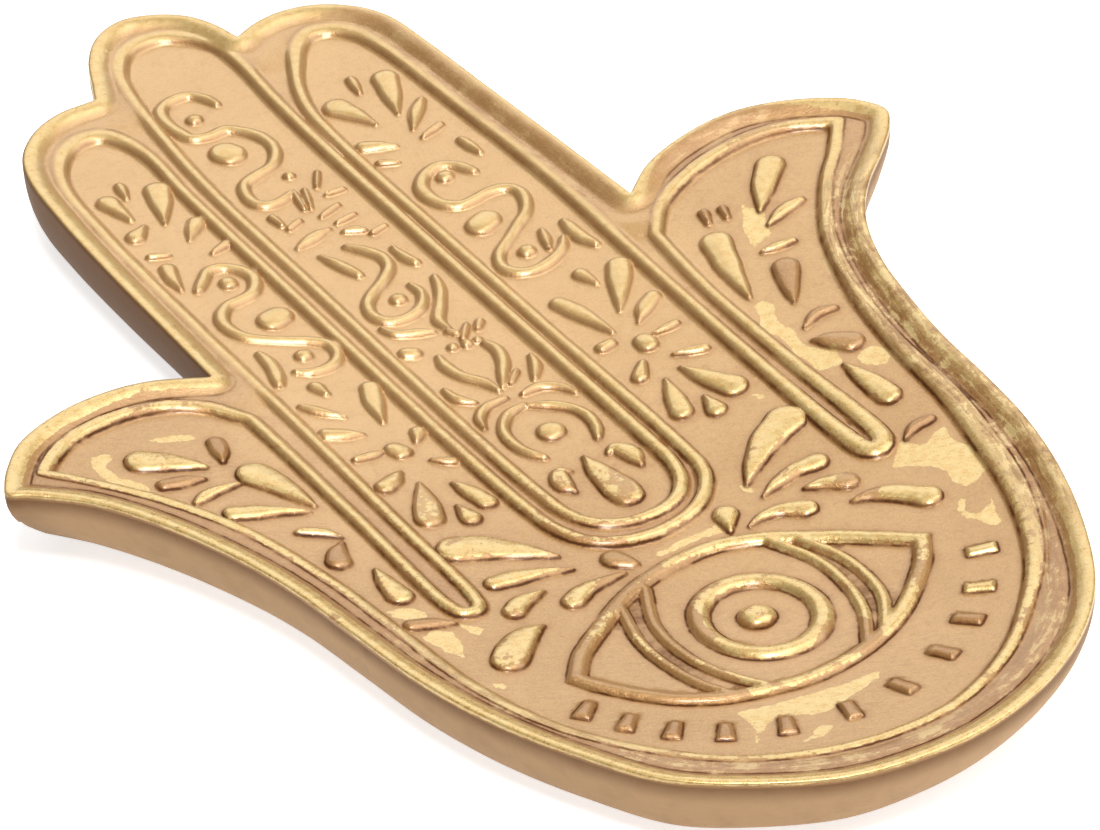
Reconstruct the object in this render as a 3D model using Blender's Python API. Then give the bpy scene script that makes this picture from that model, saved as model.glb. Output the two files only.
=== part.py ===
"""Hamsa dish: one cast tray in the shape of an open hand, standing on six felt pads."""
import math

import bpy
import numpy as np
from mathutils import Vector
from mathutils.geometry import delaunay_2d_cdt

for leftover in list(bpy.data.objects):
    bpy.data.objects.remove(leftover, do_unlink=True)

MM = 0.001

# Main sizes of the hand, in millimetres
HAND_LENGTH = 250.0
HAND_WIDTH = 175.4

# Body of the casting
FLOOR_THICKNESS = 4.5
DISH_DEPTH = 9.0
EDGE_HEIGHT = 1.0

# Outer wall: how far it turns under, with more at the thumb tips and at the heel
WALL_INSET = 4.3
THUMB_TURN = 18.0
THUMB_TURN_REACH = 8.0
HEEL_TURN = 9.0
HEEL_TURN_REACH = 38.0

# Rim, ledge and ribs, heights over the dished floor
RIM_WIDTH = 4.2
RIM_HEIGHT = 2.1
RIM_EDGE_DROP = 0.3
LEDGE_HEIGHT = 1.0
LEDGE_WIDTH = 7.0
SLOT_HEIGHT = 0.3
RIB_WIDTH = 2.9
RIB_HEIGHT = 1.4
RIB_TOP_PART = 0.45

# Eye and tablets, heights over the dished floor
BAND_WIDTH = 3.4
BAND_HEIGHT = 1.0
LID_WIDTH = 2.4
RING_WIDTH = 3.8
RING_HEIGHT = 1.1
PUPIL_RADIUS = 3.2
PUPIL_HEIGHT = 1.7
TABLET_WIDTH = 2.9
TABLET_LENGTH = 4.7
TABLET_HEIGHT = 0.7
SIDE_RUN = 0.35

# Raised motifs, height over the dished floor
MOTIF_HEIGHT = 0.85
MOTIF_SIDE_RUN = 0.6
MOTIF_TOLERANCE = 0.14

# Felt pads
PAD_RADIUS = 7.0
PAD_THICKNESS = 1.5
GLUE_GAP = 0.3

# Meshing
CURVE_STEP = 0.8
CURVE_TOLERANCE = 0.07
LONGEST_EDGE = 7.0
SNAP = 0.45

# Outer edge of the hand, drawn at full size, clockwise from the right notch; the notches are corners
THUMBS_AND_HEEL = [
    (43.2, 29.2), (49.8, 33.7), (58.3, 36.1), (68.3, 36.3), (76.8, 33.3), (84.7, 27.8), (87.8, 23.9),
    (89.3, 19.6), (86.8, 15.2), (82.2, 10.8), (74.5, 4.3), (69.1, -2.6), (64.8, -12.6), (62.2, -24.2),
    (60.3, -36.5), (59.3, -49.5), (57.6, -63), (54, -76.9), (47.6, -92.4), (39.5, -106), (29.5, -115.5),
    (17.6, -121.9), (4, -125.3), (-8, -125.1), (-19.6, -122.4), (-32.4, -114.6), (-42.4, -105.5),
    (-49.6, -91.5), (-55.3, -76), (-58.8, -60), (-60.4, -44), (-62, -28.8), (-64.9, -16.4), (-70, -2.6),
    (-76.4, 8.5), (-83.2, 15.2), (-86, 17.5), (-84.8, 20.2), (-82, 23.9), (-76.6, 28.9), (-67.4, 32.5),
    (-58.9, 33.5), (-50.5, 32.5), (-40.8, 28.3)]
LEFT_FINGER = [
    (-40.8, 28.3), (-40.1, 45), (-39.4, 62), (-38.1, 80), (-36.2, 93), (-33.4, 99.5), (-27.8, 104.7),
    (-21.8, 106.9), (-14.6, 106.8)]
MIDDLE_FINGER = [
    (-14.6, 106.8), (-12.7, 110.7), (-9.3, 117.4), (-4.3, 122.7), (1.5, 124.5), (7, 122.6), (11.3, 119),
    (13.9, 114), (15.2, 108.2)]
RIGHT_FINGER = [
    (15.2, 108.2), (19.8, 109.7), (25, 109.9), (30.9, 107.9), (36.3, 103), (39.2, 97), (40.3, 86),
    (41.1, 69.7), (42.2, 49.7), (43.2, 29.2)]

# Middle line of the rib round the palm, through both thumbs, the two slots and the outer fingers
PALM_RIB = [
    [(81.6, 23.2), (76.1, 16.6), (71.4, 11.9), (65.6, 4.2), (61.7, -2.7), (57.1, -16.4), (54.6, -29.6),
     (52.9, -48), (50.8, -59.2), (46.6, -75), (39.1, -90.2), (30.9, -99.8), (19, -109.6), (6.2, -115),
     (-6, -115.4), (-17.6, -112.4), (-29.6, -105.7), (-39.8, -94.2), (-46.9, -81.6), (-51.3, -65.5),
     (-53.1, -44.5), (-54.5, -29.6), (-58.4, -11), (-64.6, 2.8), (-70.9, 12.4), (-77.2, 20.6)],
    [(-77.2, 20.6), (-73.3, 23.9), (-67, 27), (-58, 27.9), (-51.3, 26.5), (-45.6, 23), (-40.7, 16.4)],
    [(-40.7, 16.4), (-40.6, 8), (-41.2, -18), (-42, -44), (-41.2, -46.6), (-39.5, -47.4), (-37.8, -46.6),
     (-37, -44), (-36, -20), (-34.9, 10), (-34.3, 45), (-33.2, 74), (-31.5, 89), (-28.5, 95.6),
     (-25, 98.6), (-21.5, 99.6), (-18.3, 98.6), (-16, 95.3), (-14.9, 89), (-15.6, 76), (-16, 40),
     (-16, -28), (-15, -35.5), (-12.6, -40), (-8.5, -43), (-3.5, -44.4), (1.5, -44.3), (6.2, -43),
     (10.2, -40), (12.8, -35.8), (13.6, -29), (13.5, 20), (13.5, 75), (14.3, 84), (16.3, 90.5),
     (19.2, 96), (22.5, 100.6), (26.3, 102.8), (30, 101.5), (32.8, 98), (34.2, 91), (35.2, 70),
     (36.2, 44), (35.6, 16), (34.9, -20), (34.8, -46.5), (35.4, -49.6), (37, -50.8), (38.6, -49.6),
     (39.3, -46.5), (39.2, -20), (39.5, 2), (41, 18.6)],
    [(41, 18.6), (46, 24.2), (52.2, 27.5), (59.8, 29.4), (67.6, 29.6), (74.6, 27.8), (81.6, 23.2)]]

# Middle line of the rib round the long panel of the middle finger
PANEL_RIB = [
    (1, 118.3), (5.5, 117.5), (9.5, 114), (11.8, 109), (12.2, 103), (11.2, 90), (10.6, 75), (10.4, 40),
    (10.4, -24), (9.9, -31.5), (8, -36.3), (4.5, -39.2), (0, -40), (-5, -39.2), (-9, -36.6), (-11.2, -32.4),
    (-12, -25), (-12, 40), (-11.7, 74), (-10.4, 90), (-8, 106.5), (-6.2, 112.6), (-3, 116.8)]

# Eye: outer edge of its band from corner to corner, the lid ridges, and the iris
EYE_TOP = [
    (-37.9, -71.2), (-32.6, -64.9), (-24.9, -59.3), (-18.8, -55.4), (-12.6, -52.6), (-6.5, -51.2),
    (-1, -50.8), (3.5, -51.3), (8.2, -53.1), (12.1, -55.4), (16.7, -59.3), (21.3, -63.5), (30.6, -74)]
EYE_BOTTOM = [
    (30.6, -74), (28.1, -78.1), (25.1, -81.6), (16.7, -88.5), (11.2, -91.5), (5.8, -93.4), (-0.3, -94.5),
    (-6.5, -94.7), (-12.6, -93.5), (-18.8, -91.6), (-23.4, -89.3), (-28.8, -85), (-35.7, -75.8),
    (-37.9, -71.2)]
LIDS = [
    [(-18.8, -58.4), (-21.6, -68), (-22, -75), (-21, -83), (-18.5, -89.7)],
    [(-12.5, -55.9), (-17, -65.4), (-18, -73.6), (-16.8, -82), (-12.6, -91.5)],
    [(10, -56), (13.2, -66), (13.2, -74), (11, -82.6), (5.3, -92.1)],
    [(13.9, -59.2), (16.6, -68), (16.8, -75), (15.2, -82.2), (10.4, -89.5)]]
IRIS_CENTRE = (-2.3, -73.4)
IRIS_RADII = (11.4, 12.8)
PUPIL_CENTRE = (-2.7, -73)

# Tablets below the eye: middle of each one and the way it points, in degrees
TABLETS = [
    (-39.9, -79.8, 38), (-36.4, -86.4, 41), (-31.9, -92.4, 46), (-25.7, -97.6, 56), (-17.2, -102, 63),
    (-7.1, -104.8, 76), (2.9, -104.7, 106), (13.1, -101.4, 115), (21.3, -96.8, 126), (27.6, -91.2, 143),
    (33.7, -83.4, 153)]

# Raised drops, scrolls and knobs: points along the middle of each with its half width
MOTIFS = [
    [(-18.8, 80, 2.3), (-20.5, 76, 1.6), (-22.8, 71.2, 0.3)], [(-23.4, 84.7, 1.2), (-24.3, 81, 0.4)],
    [(-27.6, 81.6, 1.8), (-27, 75.2, 0.6)], [(-29, 70.6, 1.5), (-26, 72.5, 0.6)], [(-18.2, 68.6, 1.5),
     (-19.8, 67.2, 1.1), (-21.8, 65, 0.3)], [(-29.3, 60, 1.3), (-30.2, 57, 1.1), (-30.6, 53.6, 0.4)],
    [(-28.3, 52, 1.1), (-26.4, 53.7, 1), (-23.9, 55.75, 1), (-21.4, 55.4, 1), (-19.2, 52.9, 1.1),
     (-18.6, 50.4, 1.1), (-19.5, 48.25, 1.1), (-21.4, 46.5, 1.1), (-23.9, 46.1, 1), (-26.4, 45.75, 1),
     (-28.6, 44.2, 1.1), (-29.8, 42, 1.1), (-29.8, 39.5, 1.1), (-28.9, 37, 1), (-26.4, 34.5, 0.9),
     (-23.25, 32.3, 0.9), (-20.1, 30.1, 1), (-18.1, 27.6, 1), (-18.6, 24.4, 1), (-21, 22.6, 1),
     (-24.3, 22.6, 0.9), (-27, 24.2, 0.8)], [(-23, 51, 1.4), (-23, 51.2, 1.4)], [(-22.4, 38.4, 2.5),
     (-21, 38.8, 2.4)], [(-29.4, 31.6, 0.9), (-29.3, 29, 1.1), (-30, 25.5, 1.2), (-31.2, 22.6, 1.2)],
    [(-23.4, 27.4, 1.4), (-23.3, 27.4, 1.4)], [(-26.4, 19, 1.2), (-26, 16.4, 0.5)], [(-31.5, 15.4, 0.9),
     (-29.5, 12.6, 0.9), (-27, 9.4, 0.3)], [(-19, 14, 1.7), (-20.6, 10.5, 1.6), (-22.4, 5, 0.4)],
    [(-32, 6.8, 1.4), (-29.5, 5.2, 1.2), (-27, 3.8, 0.3)], [(-31.9, -1.6, 0.9), (-28.5, -2, 0.7),
     (-26.8, -2, 0.3)], [(-19, -0.2, 1.3), (-20.6, -2.2, 0.4)], [(-24.8, -2.4, 1.7), (-24.4, -3.4, 1.7)],
    [(-32, -10.4, 1.6), (-30, -9.6, 1.4), (-27.5, -8, 0.3)], [(-18.5, -10, 1.1), (-21.5, -7.8, 0.3)],
    [(-30.6, -21.3, 2.4), (-28.8, -17.5, 1.9), (-26.7, -12.2, 0.3)], [(-20.2, -22, 1.7),
     (-20.9, -18.5, 1.5), (-22, -15, 0.4)], [(-24.9, -24.6, 1.7), (-24.9, -20.6, 0.3)],
    [(-31.6, -31, 3.4), (-28, -32.6, 3), (-23.5, -36.2, 1.9), (-19, -40.7, 0.4)], [(-31.8, -42, 1.6),
     (-28, -42.3, 1.7), (-24, -43.2, 1.2), (-19, -45, 0.3)], [(-33.6, -50.2, 1.7), (-31, -48.6, 1.6),
     (-26.4, -47.8, 0.3)], [(-24, -52.6, 1.8), (-20.5, -50.9, 1.5), (-16, -50.4, 0.8),
     (-12.6, -50.4, 0.3)], [(-11.9, -46.2, 2), (-10, -49.2, 1.2)], [(-42, -61.6, 2.8),
     (-38.5, -58.5, 2.7), (-35, -56.6, 1.6), (-31.8, -55.9, 0.3)], [(18.6, 82, 2.4), (20, 78.6, 1.5),
     (21.4, 74, 0.3)], [(24.9, 87.4, 1.2), (24, 83.2, 0.4)], [(29.7, 84, 2.2), (28.2, 80, 1.7),
     (26, 74.3, 0.3)], [(31.3, 75, 1), (28.5, 72.5, 1.1), (25.6, 69, 0.3)], [(16.2, 70, 1.3),
     (18.5, 68.6, 1.1), (20.8, 66.8, 0.4)], [(15.9, 64.6, 0.9), (18.5, 62.8, 0.4)], [(30.4, 61.4, 1.2),
     (31, 56.5, 0.6)], [(27.4, 52.9, 1), (25.5, 56.4, 1), (23, 57.9, 1), (19.9, 57, 1.1),
     (17.7, 54.5, 1.2), (17.4, 51.4, 1.2), (18.6, 48.25, 1.1), (20.5, 46.7, 1), (23, 46.5, 1),
     (26.1, 46.7, 1), (28.9, 45.75, 1), (30.2, 43.9, 1), (29.9, 41.4, 1), (28, 38.25, 1), (24.9, 36.1, 1),
     (21.1, 33.6, 1), (18, 31.4, 1), (16.75, 28.4, 1), (18, 25.9, 1), (20.5, 24.6, 1), (24.25, 24.9, 1),
     (27.4, 26.5, 0.9), (29.1, 28.6, 0.7)], [(22.7, 54.8, 1.4), (22.6, 54.8, 1.4)], [(20, 40.1, 2.4),
     (21.6, 40.6, 2.4)], [(22.4, 29.6, 1.4), (22.3, 29.6, 1.4)], [(31.5, 32, 1.1), (31.4, 27, 1.2),
     (32.3, 23.6, 1)], [(25.9, 18.8, 1.3), (26.7, 15, 0.4)], [(18.8, 14.8, 1.5), (20.2, 10, 1.5),
     (21.6, 3, 0.4)], [(32, 16.4, 2.1), (29.5, 12.6, 1.8), (25.6, 6.8, 0.3)], [(31.8, 6.2, 1.3),
     (29.3, 4.8, 1.4), (26.4, 2.4, 0.3)], [(26.5, -1.8, 0.3), (30.8, -2, 1)], [(24.3, -2.2, 1.7),
     (24.2, -3.2, 1.7)], [(18, 0.9, 1.1), (19.6, 0.9, 1)], [(18.5, -9.3, 1.3), (21, -6.5, 0.8)],
    [(30.8, -10.4, 1.2), (26, -8.2, 0.3)], [(18.8, -20.9, 1.9), (20, -17, 1.4), (21.4, -12.5, 0.3)],
    [(28.8, -21.2, 2.3), (26.9, -17, 1.7), (25, -11.6, 0.3)], [(23.4, -24.2, 1.6), (23.8, -20.2, 0.3)],
    [(30.1, -34.2, 3.3), (25.4, -36.1, 2.7), (20.4, -39.4, 1.6), (16.2, -43.2, 0.3)], [(28, -46.2, 1.7),
     (24, -45.6, 1.5), (20, -46.2, 1), (16.6, -47.4, 0.3)], [(28.6, -53.6, 1.8), (26, -51.6, 1.4),
     (22.6, -50.3, 0.3)], [(19.8, -54.6, 1.9), (17, -52.4, 1.4), (13.5, -51.6, 0.9), (10.5, -52.2, 0.3)],
    [(35.6, -66, 2.3), (33, -62.2, 1.9), (30, -59.5, 1.4), (26.4, -58.2, 0.3)], [(9.2, -47.2, 1.9),
     (7.3, -51.3, 0.4)], [(2.8, 95.4, 0.9), (1.9, 98.2, 0.9), (0, 100.5, 0.9), (-3.75, 100.7, 1),
     (-6.25, 99.1, 1.1), (-7.2, 96, 1.1), (-6.9, 92.25, 1.1), (-5.9, 89.4, 1), (-3.1, 88.3, 1),
     (0, 88.2, 1), (2, 86.3, 1), (3.6, 83.5, 1), (4.1, 80.4, 1), (3.1, 77.25, 1), (0.6, 74.9, 1),
     (-3.1, 74.1, 1), (-6, 72.9, 1), (-7.2, 70.4, 1), (-7.2, 67.6, 1), (-5.8, 66, 1), (-3.1, 65.7, 0.9),
     (-0.6, 66.6, 0.8)], [(-2.8, 93.8, 1.3), (-2.7, 93.8, 1.3)], [(-3.6, 82.6, 2.7), (-3.2, 81.8, 2.7)],
    [(-8, 53, 0.5), (-4.5, 54, 1.1), (-0.8, 54.4, 0.4)], [(0.8, 52.5, 0.6), (2.6, 51.8, 0.9),
     (3.8, 50.7, 0.6)], [(-6.2, 49, 0.5), (-4.8, 45, 1), (-3.6, 41, 1.1)], [(-1.25, 48.8, 0.8),
     (0.6, 46.4, 0.9), (2.2, 42.9, 1), (1.6, 40, 1), (-1.25, 37.4, 1), (-4.4, 35.6, 1), (-6.9, 33.4, 1),
     (-7.8, 30.6, 1), (-6.9, 28.1, 1), (-4.4, 26.9, 1), (-1.25, 27.2, 1), (0.9, 28.75, 0.9),
     (2.2, 31.25, 0.8), (1.9, 34, 0.7)], [(-1.9, 31.9, 1.3), (-1.8, 31.9, 1.3)], [(5, 44, 0.7),
     (5.2, 41, 0.9), (6, 38.4, 1.1)], [(6.4, 33.5, 0.8), (5.2, 30, 0.9), (2.8, 26.4, 1), (0.4, 23, 1),
     (0.6, 20.5, 0.7)], [(-8.6, 26.5, 0.7), (-7.5, 24.2, 0.8), (-4.5, 22.6, 0.9), (-2, 21.2, 0.7)],
    [(-8.8, 18.8, 1.3), (-7.8, 18.2, 1.3)], [(0.8, 15.4, 0.9), (0.9, 15.4, 0.9)], [(-5, 15, 0.8),
     (-5.4, 12.5, 1), (-4.7, 8.75, 1), (-2.5, 5, 0.9), (-1.7, 2, 0.6)], [(3.4, 14, 0.8), (4, 11.25, 1),
     (3.1, 8.1, 1), (1.25, 5.3, 0.9), (-0.6, 2.5, 0.6)], [(-9.2, 7, 0.6), (-8.8, 4, 0.9),
     (-6.9, 1.5, 0.6)], [(7.6, 6.6, 0.6), (6.8, 4, 0.9), (4.8, 1.2, 0.7)], [(-0.6, -3.4, 0.7),
     (-4.4, -4.4, 0.9), (-7.2, -7.5, 0.9), (-7.8, -11.25, 0.9), (-7.2, -14.4, 0.9), (-5.6, -17.2, 0.7)],
    [(0, -4, 0.7), (3.1, -6.25, 0.9), (5.6, -9.4, 0.9), (6.25, -12.5, 0.9), (5.6, -15.6, 0.9),
     (4.4, -17.8, 0.7)], [(-0.9, -11.9, 2.2), (-0.8, -11.9, 2.2)], [(-0.4, -20.6, 0.3), (-0.5, -26, 2),
     (-0.3, -31, 2.8), (-0.3, -33, 2.6)], [(-6.6, -27.6, 0.3), (-7.2, -24.6, 1.6), (-5.8, -21.8, 1.1),
     (-4.2, -22.6, 0.3)], [(3.4, -22.2, 0.4), (4.8, -21.6, 1), (6.2, -24, 1.7), (6, -28, 0.4)],
    [(-62, 15.4, 2.7), (-58.5, 13, 2.2), (-54, 8.8, 0.5)], [(-48.2, 3, 2.9), (-46.6, -1.5, 2.3),
     (-44.8, -9.4, 0.4)], [(-60.6, 0.8, 0.8), (-57.5, 2, 1.1), (-52, 2, 0.4)], [(-57, -4.8, 1.8),
     (-53.5, -6.4, 1.6), (-49.5, -8.4, 0.9), (-46.4, -10.4, 0.3)], [(-51.3, -14.4, 0.6),
     (-50.4, -14.7, 0.9), (-47.5, -16.8, 0.8), (-46, -19, 0.3)], [(-46.9, -37.5, 2.1),
     (-46.7, -33.5, 1.5), (-46.2, -29.4, 0.3)], [(66.4, 21.4, 2.3), (62.8, 18, 2), (58, 12.4, 0.4)],
    [(64.8, 10.2, 1), (61, 9.8, 1.2), (57, 8.4, 0.4)], [(47.6, 10.4, 2.5), (45.6, 4, 2), (43.6, -5, 0.4)],
    [(46, -40.8, 2.1), (45.8, -36, 1.8), (45.2, -29.6, 0.3)], [(-62.3, 7.8, 1.3), (-59, 7, 1.3),
     (-56, 6, 0.4)], [(-48.9, 13.8, 1.4), (-49.6, 11.5, 1.3), (-50.8, 8.6, 0.4)], [(-50, -24.6, 2),
     (-48.9, -22.6, 1.4), (-46.6, -20.4, 0.3)], [(-49.7, -45.6, 1.3), (-46.5, -46.8, 1.2),
     (-43.6, -48.4, 0.4)], [(52.6, -2.6, 2.1), (50.6, -6.4, 1.6), (48.4, -11, 0.3)], [(46, -17.4, 0.3),
     (49.5, -16, 1), (52.4, -16.8, 0.9)], [(49.4, -25.6, 2.2), (47.6, -23.4, 1.8), (45, -21, 0.3)],
    [(41.6, -51.8, 0.3), (44.5, -50.4, 1), (47.6, -50.6, 1)]]

# Middle of each felt pad
PADS = {
    "pad_heel": (-2, -100), "pad_thumb_left": (-61, 14), "pad_thumb_right": (64, 17),
    "pad_finger_left": (-24, 82), "pad_finger_middle": (0.5, 103), "pad_finger_right": (26, 84)}

# Dish: deepest point and how far the bottom spreads sideways, to the fingers and to the heel
DISH_MIDDLE = (0, -54.5)
DISH_SIDE = 60.8
DISH_FINGERS = 125.0
DISH_HEEL = 70.0

# Places where the wall turns under most
THUMB_TIPS = ((-86, 17.5), (88.6, 20.4))
HEEL_TURN_MIDDLE = (26, -117)


def spline(points, closed=False):
    """Dense points along a smooth curve through the given ones (centripetal Catmull-Rom)."""
    p = np.array(points, float)
    if closed:
        p = np.vstack([p[-1], p, p[0], p[1]])
    else:
        p = np.vstack([2 * p[0] - p[1], p, 2 * p[-1] - p[-2]])
    dense = []
    for a, b, c, d in zip(p[:-3], p[1:-2], p[2:-1], p[3:]):
        t1 = math.sqrt(np.linalg.norm(b - a))
        t2 = t1 + math.sqrt(np.linalg.norm(c - b))
        t3 = t2 + math.sqrt(np.linalg.norm(d - c))
        count = max(2, math.ceil(np.linalg.norm(c - b) / CURVE_STEP))
        t = np.linspace(t1, t2, count, endpoint=False)[:, None]
        ab = (t1 - t) / t1 * a + t / t1 * b
        bc = (t2 - t) / (t2 - t1) * b + (t - t1) / (t2 - t1) * c
        cd = (t3 - t) / (t3 - t2) * c + (t - t2) / (t3 - t2) * d
        abc = (t2 - t) / t2 * ab + t / t2 * bc
        bcd = (t3 - t) / (t3 - t1) * bc + (t - t1) / (t3 - t1) * cd
        dense.append((t2 - t) / (t2 - t1) * abc + (t - t1) / (t2 - t1) * bcd)
    if not closed:
        dense.append(p[-2][None, :])
    return np.vstack(dense)


def thin(points, tolerance=CURVE_TOLERANCE):
    """Fewest points of a dense line that keep its shape within the tolerance."""
    keep = [0]
    start = 0
    for end in range(2, len(points)):
        a, b = points[start], points[end]
        length = np.linalg.norm(b - a)
        between = points[start + 1:end] - a
        cross = between[:, 0] * (b - a)[1] - between[:, 1] * (b - a)[0]
        off = np.abs(cross).max() / max(length, 1e-9)
        if off > tolerance or length > LONGEST_EDGE:
            keep.append(end - 1)
            start = end - 1
    keep.append(len(points) - 1)
    return points[keep]


def normals(line, closed):
    """Unit normals on the left of a line's direction."""
    if closed:
        along = np.roll(line, -1, 0) - np.roll(line, 1, 0)
    else:
        along = np.gradient(line, axis=0)
    across = np.stack([-along[:, 1], along[:, 0]], 1)
    return across / np.linalg.norm(across, axis=1)[:, None]


def distance(points, line, closed):
    """Distance from each point to a polyline."""
    a = line if closed else line[:-1]
    b = np.roll(line, -1, 0) if closed else line[1:]
    ab = b - a
    best = np.full(len(points), 1e9)
    for part in np.array_split(np.arange(len(points)), len(points) // 400 + 1):
        ap = points[part][:, None, :] - a[None]
        t = np.clip((ap * ab).sum(2) / (ab * ab).sum(1), 0, 1)
        gap = ap - t[:, :, None] * ab
        best[part] = np.sqrt((gap * gap).sum(2).min(1))
    return best


def inside(points, loop):
    """True for the points within a closed line."""
    a, b = loop, np.roll(loop, -1, 0)
    x, y = points[:, 0][:, None], points[:, 1][:, None]
    rise = np.where(b[:, 1] == a[:, 1], 1e-12, b[:, 1] - a[:, 1])
    crossing = a[:, 0] + (y - a[:, 1]) * (b[:, 0] - a[:, 0]) / rise
    return (((a[:, 1] > y) != (b[:, 1] > y)) & (x < crossing)).sum(1) % 2 == 1


# Scale of the drawing, and the middle of its box as origin
EDGE_DRAWING = [spline(s) for s in (THUMBS_AND_HEEL, LEFT_FINGER, MIDDLE_FINGER, RIGHT_FINGER)]
DRAWN = np.vstack(EDGE_DRAWING)
DRAWN_SIZE = DRAWN.max(0) - DRAWN.min(0)
DRAWN_MIDDLE = (DRAWN.max(0) + DRAWN.min(0)) / 2
SCALE = np.array([HAND_WIDTH, HAND_LENGTH]) / DRAWN_SIZE


def place(points):
    """Drawn points at the size of the part, centred on its box; a half width behind them stays."""
    p = np.array(points, float)
    p[:, :2] = (p[:, :2] - DRAWN_MIDDLE) * SCALE
    return p


# Curves of the part
EDGE_STRETCHES = [place(s) for s in EDGE_DRAWING]
EDGE = np.vstack([s[:-1] for s in EDGE_STRETCHES])
PALM = np.vstack([spline(place(s))[:-1] for s in PALM_RIB])
PANEL = spline(place(PANEL_RIB), True)
EYE_LINES = [spline(place(EYE_TOP)), spline(place(EYE_BOTTOM))]
EYE = np.vstack([s[:-1] for s in EYE_LINES])
LID_LINES = [spline(place(s)) for s in LIDS]
IRIS = place([IRIS_CENTRE])[0]
PUPIL = place([PUPIL_CENTRE])[0]
MOTIF_LINES = [spline(place(s)) for s in MOTIFS]

# Levels of the casting
BASE_Z = PAD_THICKNESS + GLUE_GAP
FLOOR_Z = BASE_Z + FLOOR_THICKNESS


def dished_floor(points):
    """Height of the smooth dish under all the relief."""
    drawn = points / SCALE + DRAWN_MIDDLE
    x, y = drawn[:, 0] - DISH_MIDDLE[0], drawn[:, 1] - DISH_MIDDLE[1]
    reach = np.where(y > 0, DISH_FINGERS, DISH_HEEL)
    return FLOOR_Z + DISH_DEPTH * (1 - np.exp(-(x / DISH_SIDE) ** 2 - (y / reach) ** 2))


def ridge(off, width, height):
    """Flat-topped ridge with sloping sides, by distance from its middle line."""
    top = width / 2 * RIB_TOP_PART
    return height * np.clip((width / 2 - off) / (width / 2 - top), 0, 1)


RIM_PROFILE = ((0, RIM_HEIGHT - RIM_EDGE_DROP), (RIM_WIDTH * 0.25, RIM_HEIGHT),
               (RIM_WIDTH * 0.55, RIM_HEIGHT - 0.1), (RIM_WIDTH, LEDGE_HEIGHT))


def tablet_corners(x, y, turn, grow):
    """Four corners of a tablet, each side moved out by grow."""
    middle = place([(x, y)])[0]
    along = np.array([math.cos(math.radians(turn)), math.sin(math.radians(turn))])
    across = np.array([-along[1], along[0]])
    half_long, half_wide = TABLET_LENGTH / 2 + grow, TABLET_WIDTH / 2 + grow
    return np.array([middle + sx * half_long * along + sy * half_wide * across
                     for sx, sy in ((-1, -1), (1, -1), (1, 1), (-1, 1))])


def motif_depth(points, line):
    """Depth inside a motif's outline, negative outside."""
    best = np.full(len(points), -1e9)
    for x, y, half_width in line:
        best = np.maximum(best, half_width - np.hypot(points[:, 0] - x, points[:, 1] - y))
    return best


def relief(points):
    """Height of the carved surface over the dished floor."""
    edge = distance(points, EDGE, True)
    rim = np.interp(edge, [p[0] for p in RIM_PROFILE], [p[1] for p in RIM_PROFILE])
    in_panels = inside(points, PALM) | inside(points, PANEL)
    sink = np.clip((edge - LEDGE_WIDTH) / RIM_WIDTH, 0, 1)
    level = np.where(in_panels, 0.0, LEDGE_HEIGHT + (SLOT_HEIGHT - LEDGE_HEIGHT) * sink)
    top = np.where(edge < RIM_WIDTH, np.maximum(rim, level), level)
    for loop in (PALM, PANEL):
        top = np.maximum(top, ridge(distance(points, loop, True), RIB_WIDTH, RIB_HEIGHT))
    in_eye = inside(points, EYE)
    off = distance(points, EYE, True)
    step = np.clip(np.minimum(off, BAND_WIDTH - off) / SIDE_RUN, 0, 1)
    top = np.maximum(top, np.where(in_eye, BAND_HEIGHT * step, 0))
    for line in LID_LINES:
        lid = ridge(distance(points, line, False), LID_WIDTH, BAND_HEIGHT)
        top = np.maximum(top, np.where(in_eye, lid, 0))
    radius = np.linalg.norm((points - IRIS) / IRIS_RADII, axis=1) * IRIS_RADII[0]
    top = np.maximum(top, ridge(np.abs(radius - IRIS_RADII[0] + RING_WIDTH / 2), RING_WIDTH, RING_HEIGHT))
    dome = 1 - (np.linalg.norm(points - PUPIL, axis=1) / PUPIL_RADIUS) ** 2
    top = np.maximum(top, PUPIL_HEIGHT * np.sqrt(np.clip(dome, 0, 1)))
    for x, y, turn in TABLETS:
        corners = tablet_corners(x, y, turn, SIDE_RUN)
        near = np.where(inside(points, corners), distance(points, corners, True), 0)
        top = np.maximum(top, TABLET_HEIGHT * np.clip(near / SIDE_RUN, 0, 1))
    for line in MOTIF_LINES:
        reach = line[:, 2].max()
        low, high = line[:, :2].min(0) - reach, line[:, :2].max(0) + reach
        near = np.flatnonzero(((points > low) & (points < high)).all(1))
        rise = np.clip(motif_depth(points[near], line) / MOTIF_SIDE_RUN, 0, 1)
        top[near] = np.maximum(top[near], MOTIF_HEIGHT * rise)
    return top


def wall_inset(points):
    """Width over which the wall turns under."""
    drawn = points / SCALE + DRAWN_MIDDLE
    inset = np.full(len(points), WALL_INSET)
    for tip in THUMB_TIPS:
        away = np.linalg.norm(drawn - tip, axis=1)
        inset += THUMB_TURN / (1 + (away / THUMB_TURN_REACH) ** 1.6)
    away = np.linalg.norm(drawn - HEEL_TURN_MIDDLE, axis=1)
    return inset + HEEL_TURN * np.exp(-(away / HEEL_TURN_REACH) ** 2)


def underside(points):
    """Height of the outside: a rounded wall that runs into the flat base."""
    edge = distance(points, EDGE, True)
    brim = dished_floor(points) + RIM_HEIGHT - RIM_EDGE_DROP - EDGE_HEIGHT
    run = np.clip(edge / wall_inset(points), 0, 1)
    return brim - (brim - BASE_Z) * np.sqrt(1 - (1 - run) ** 2)


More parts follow.
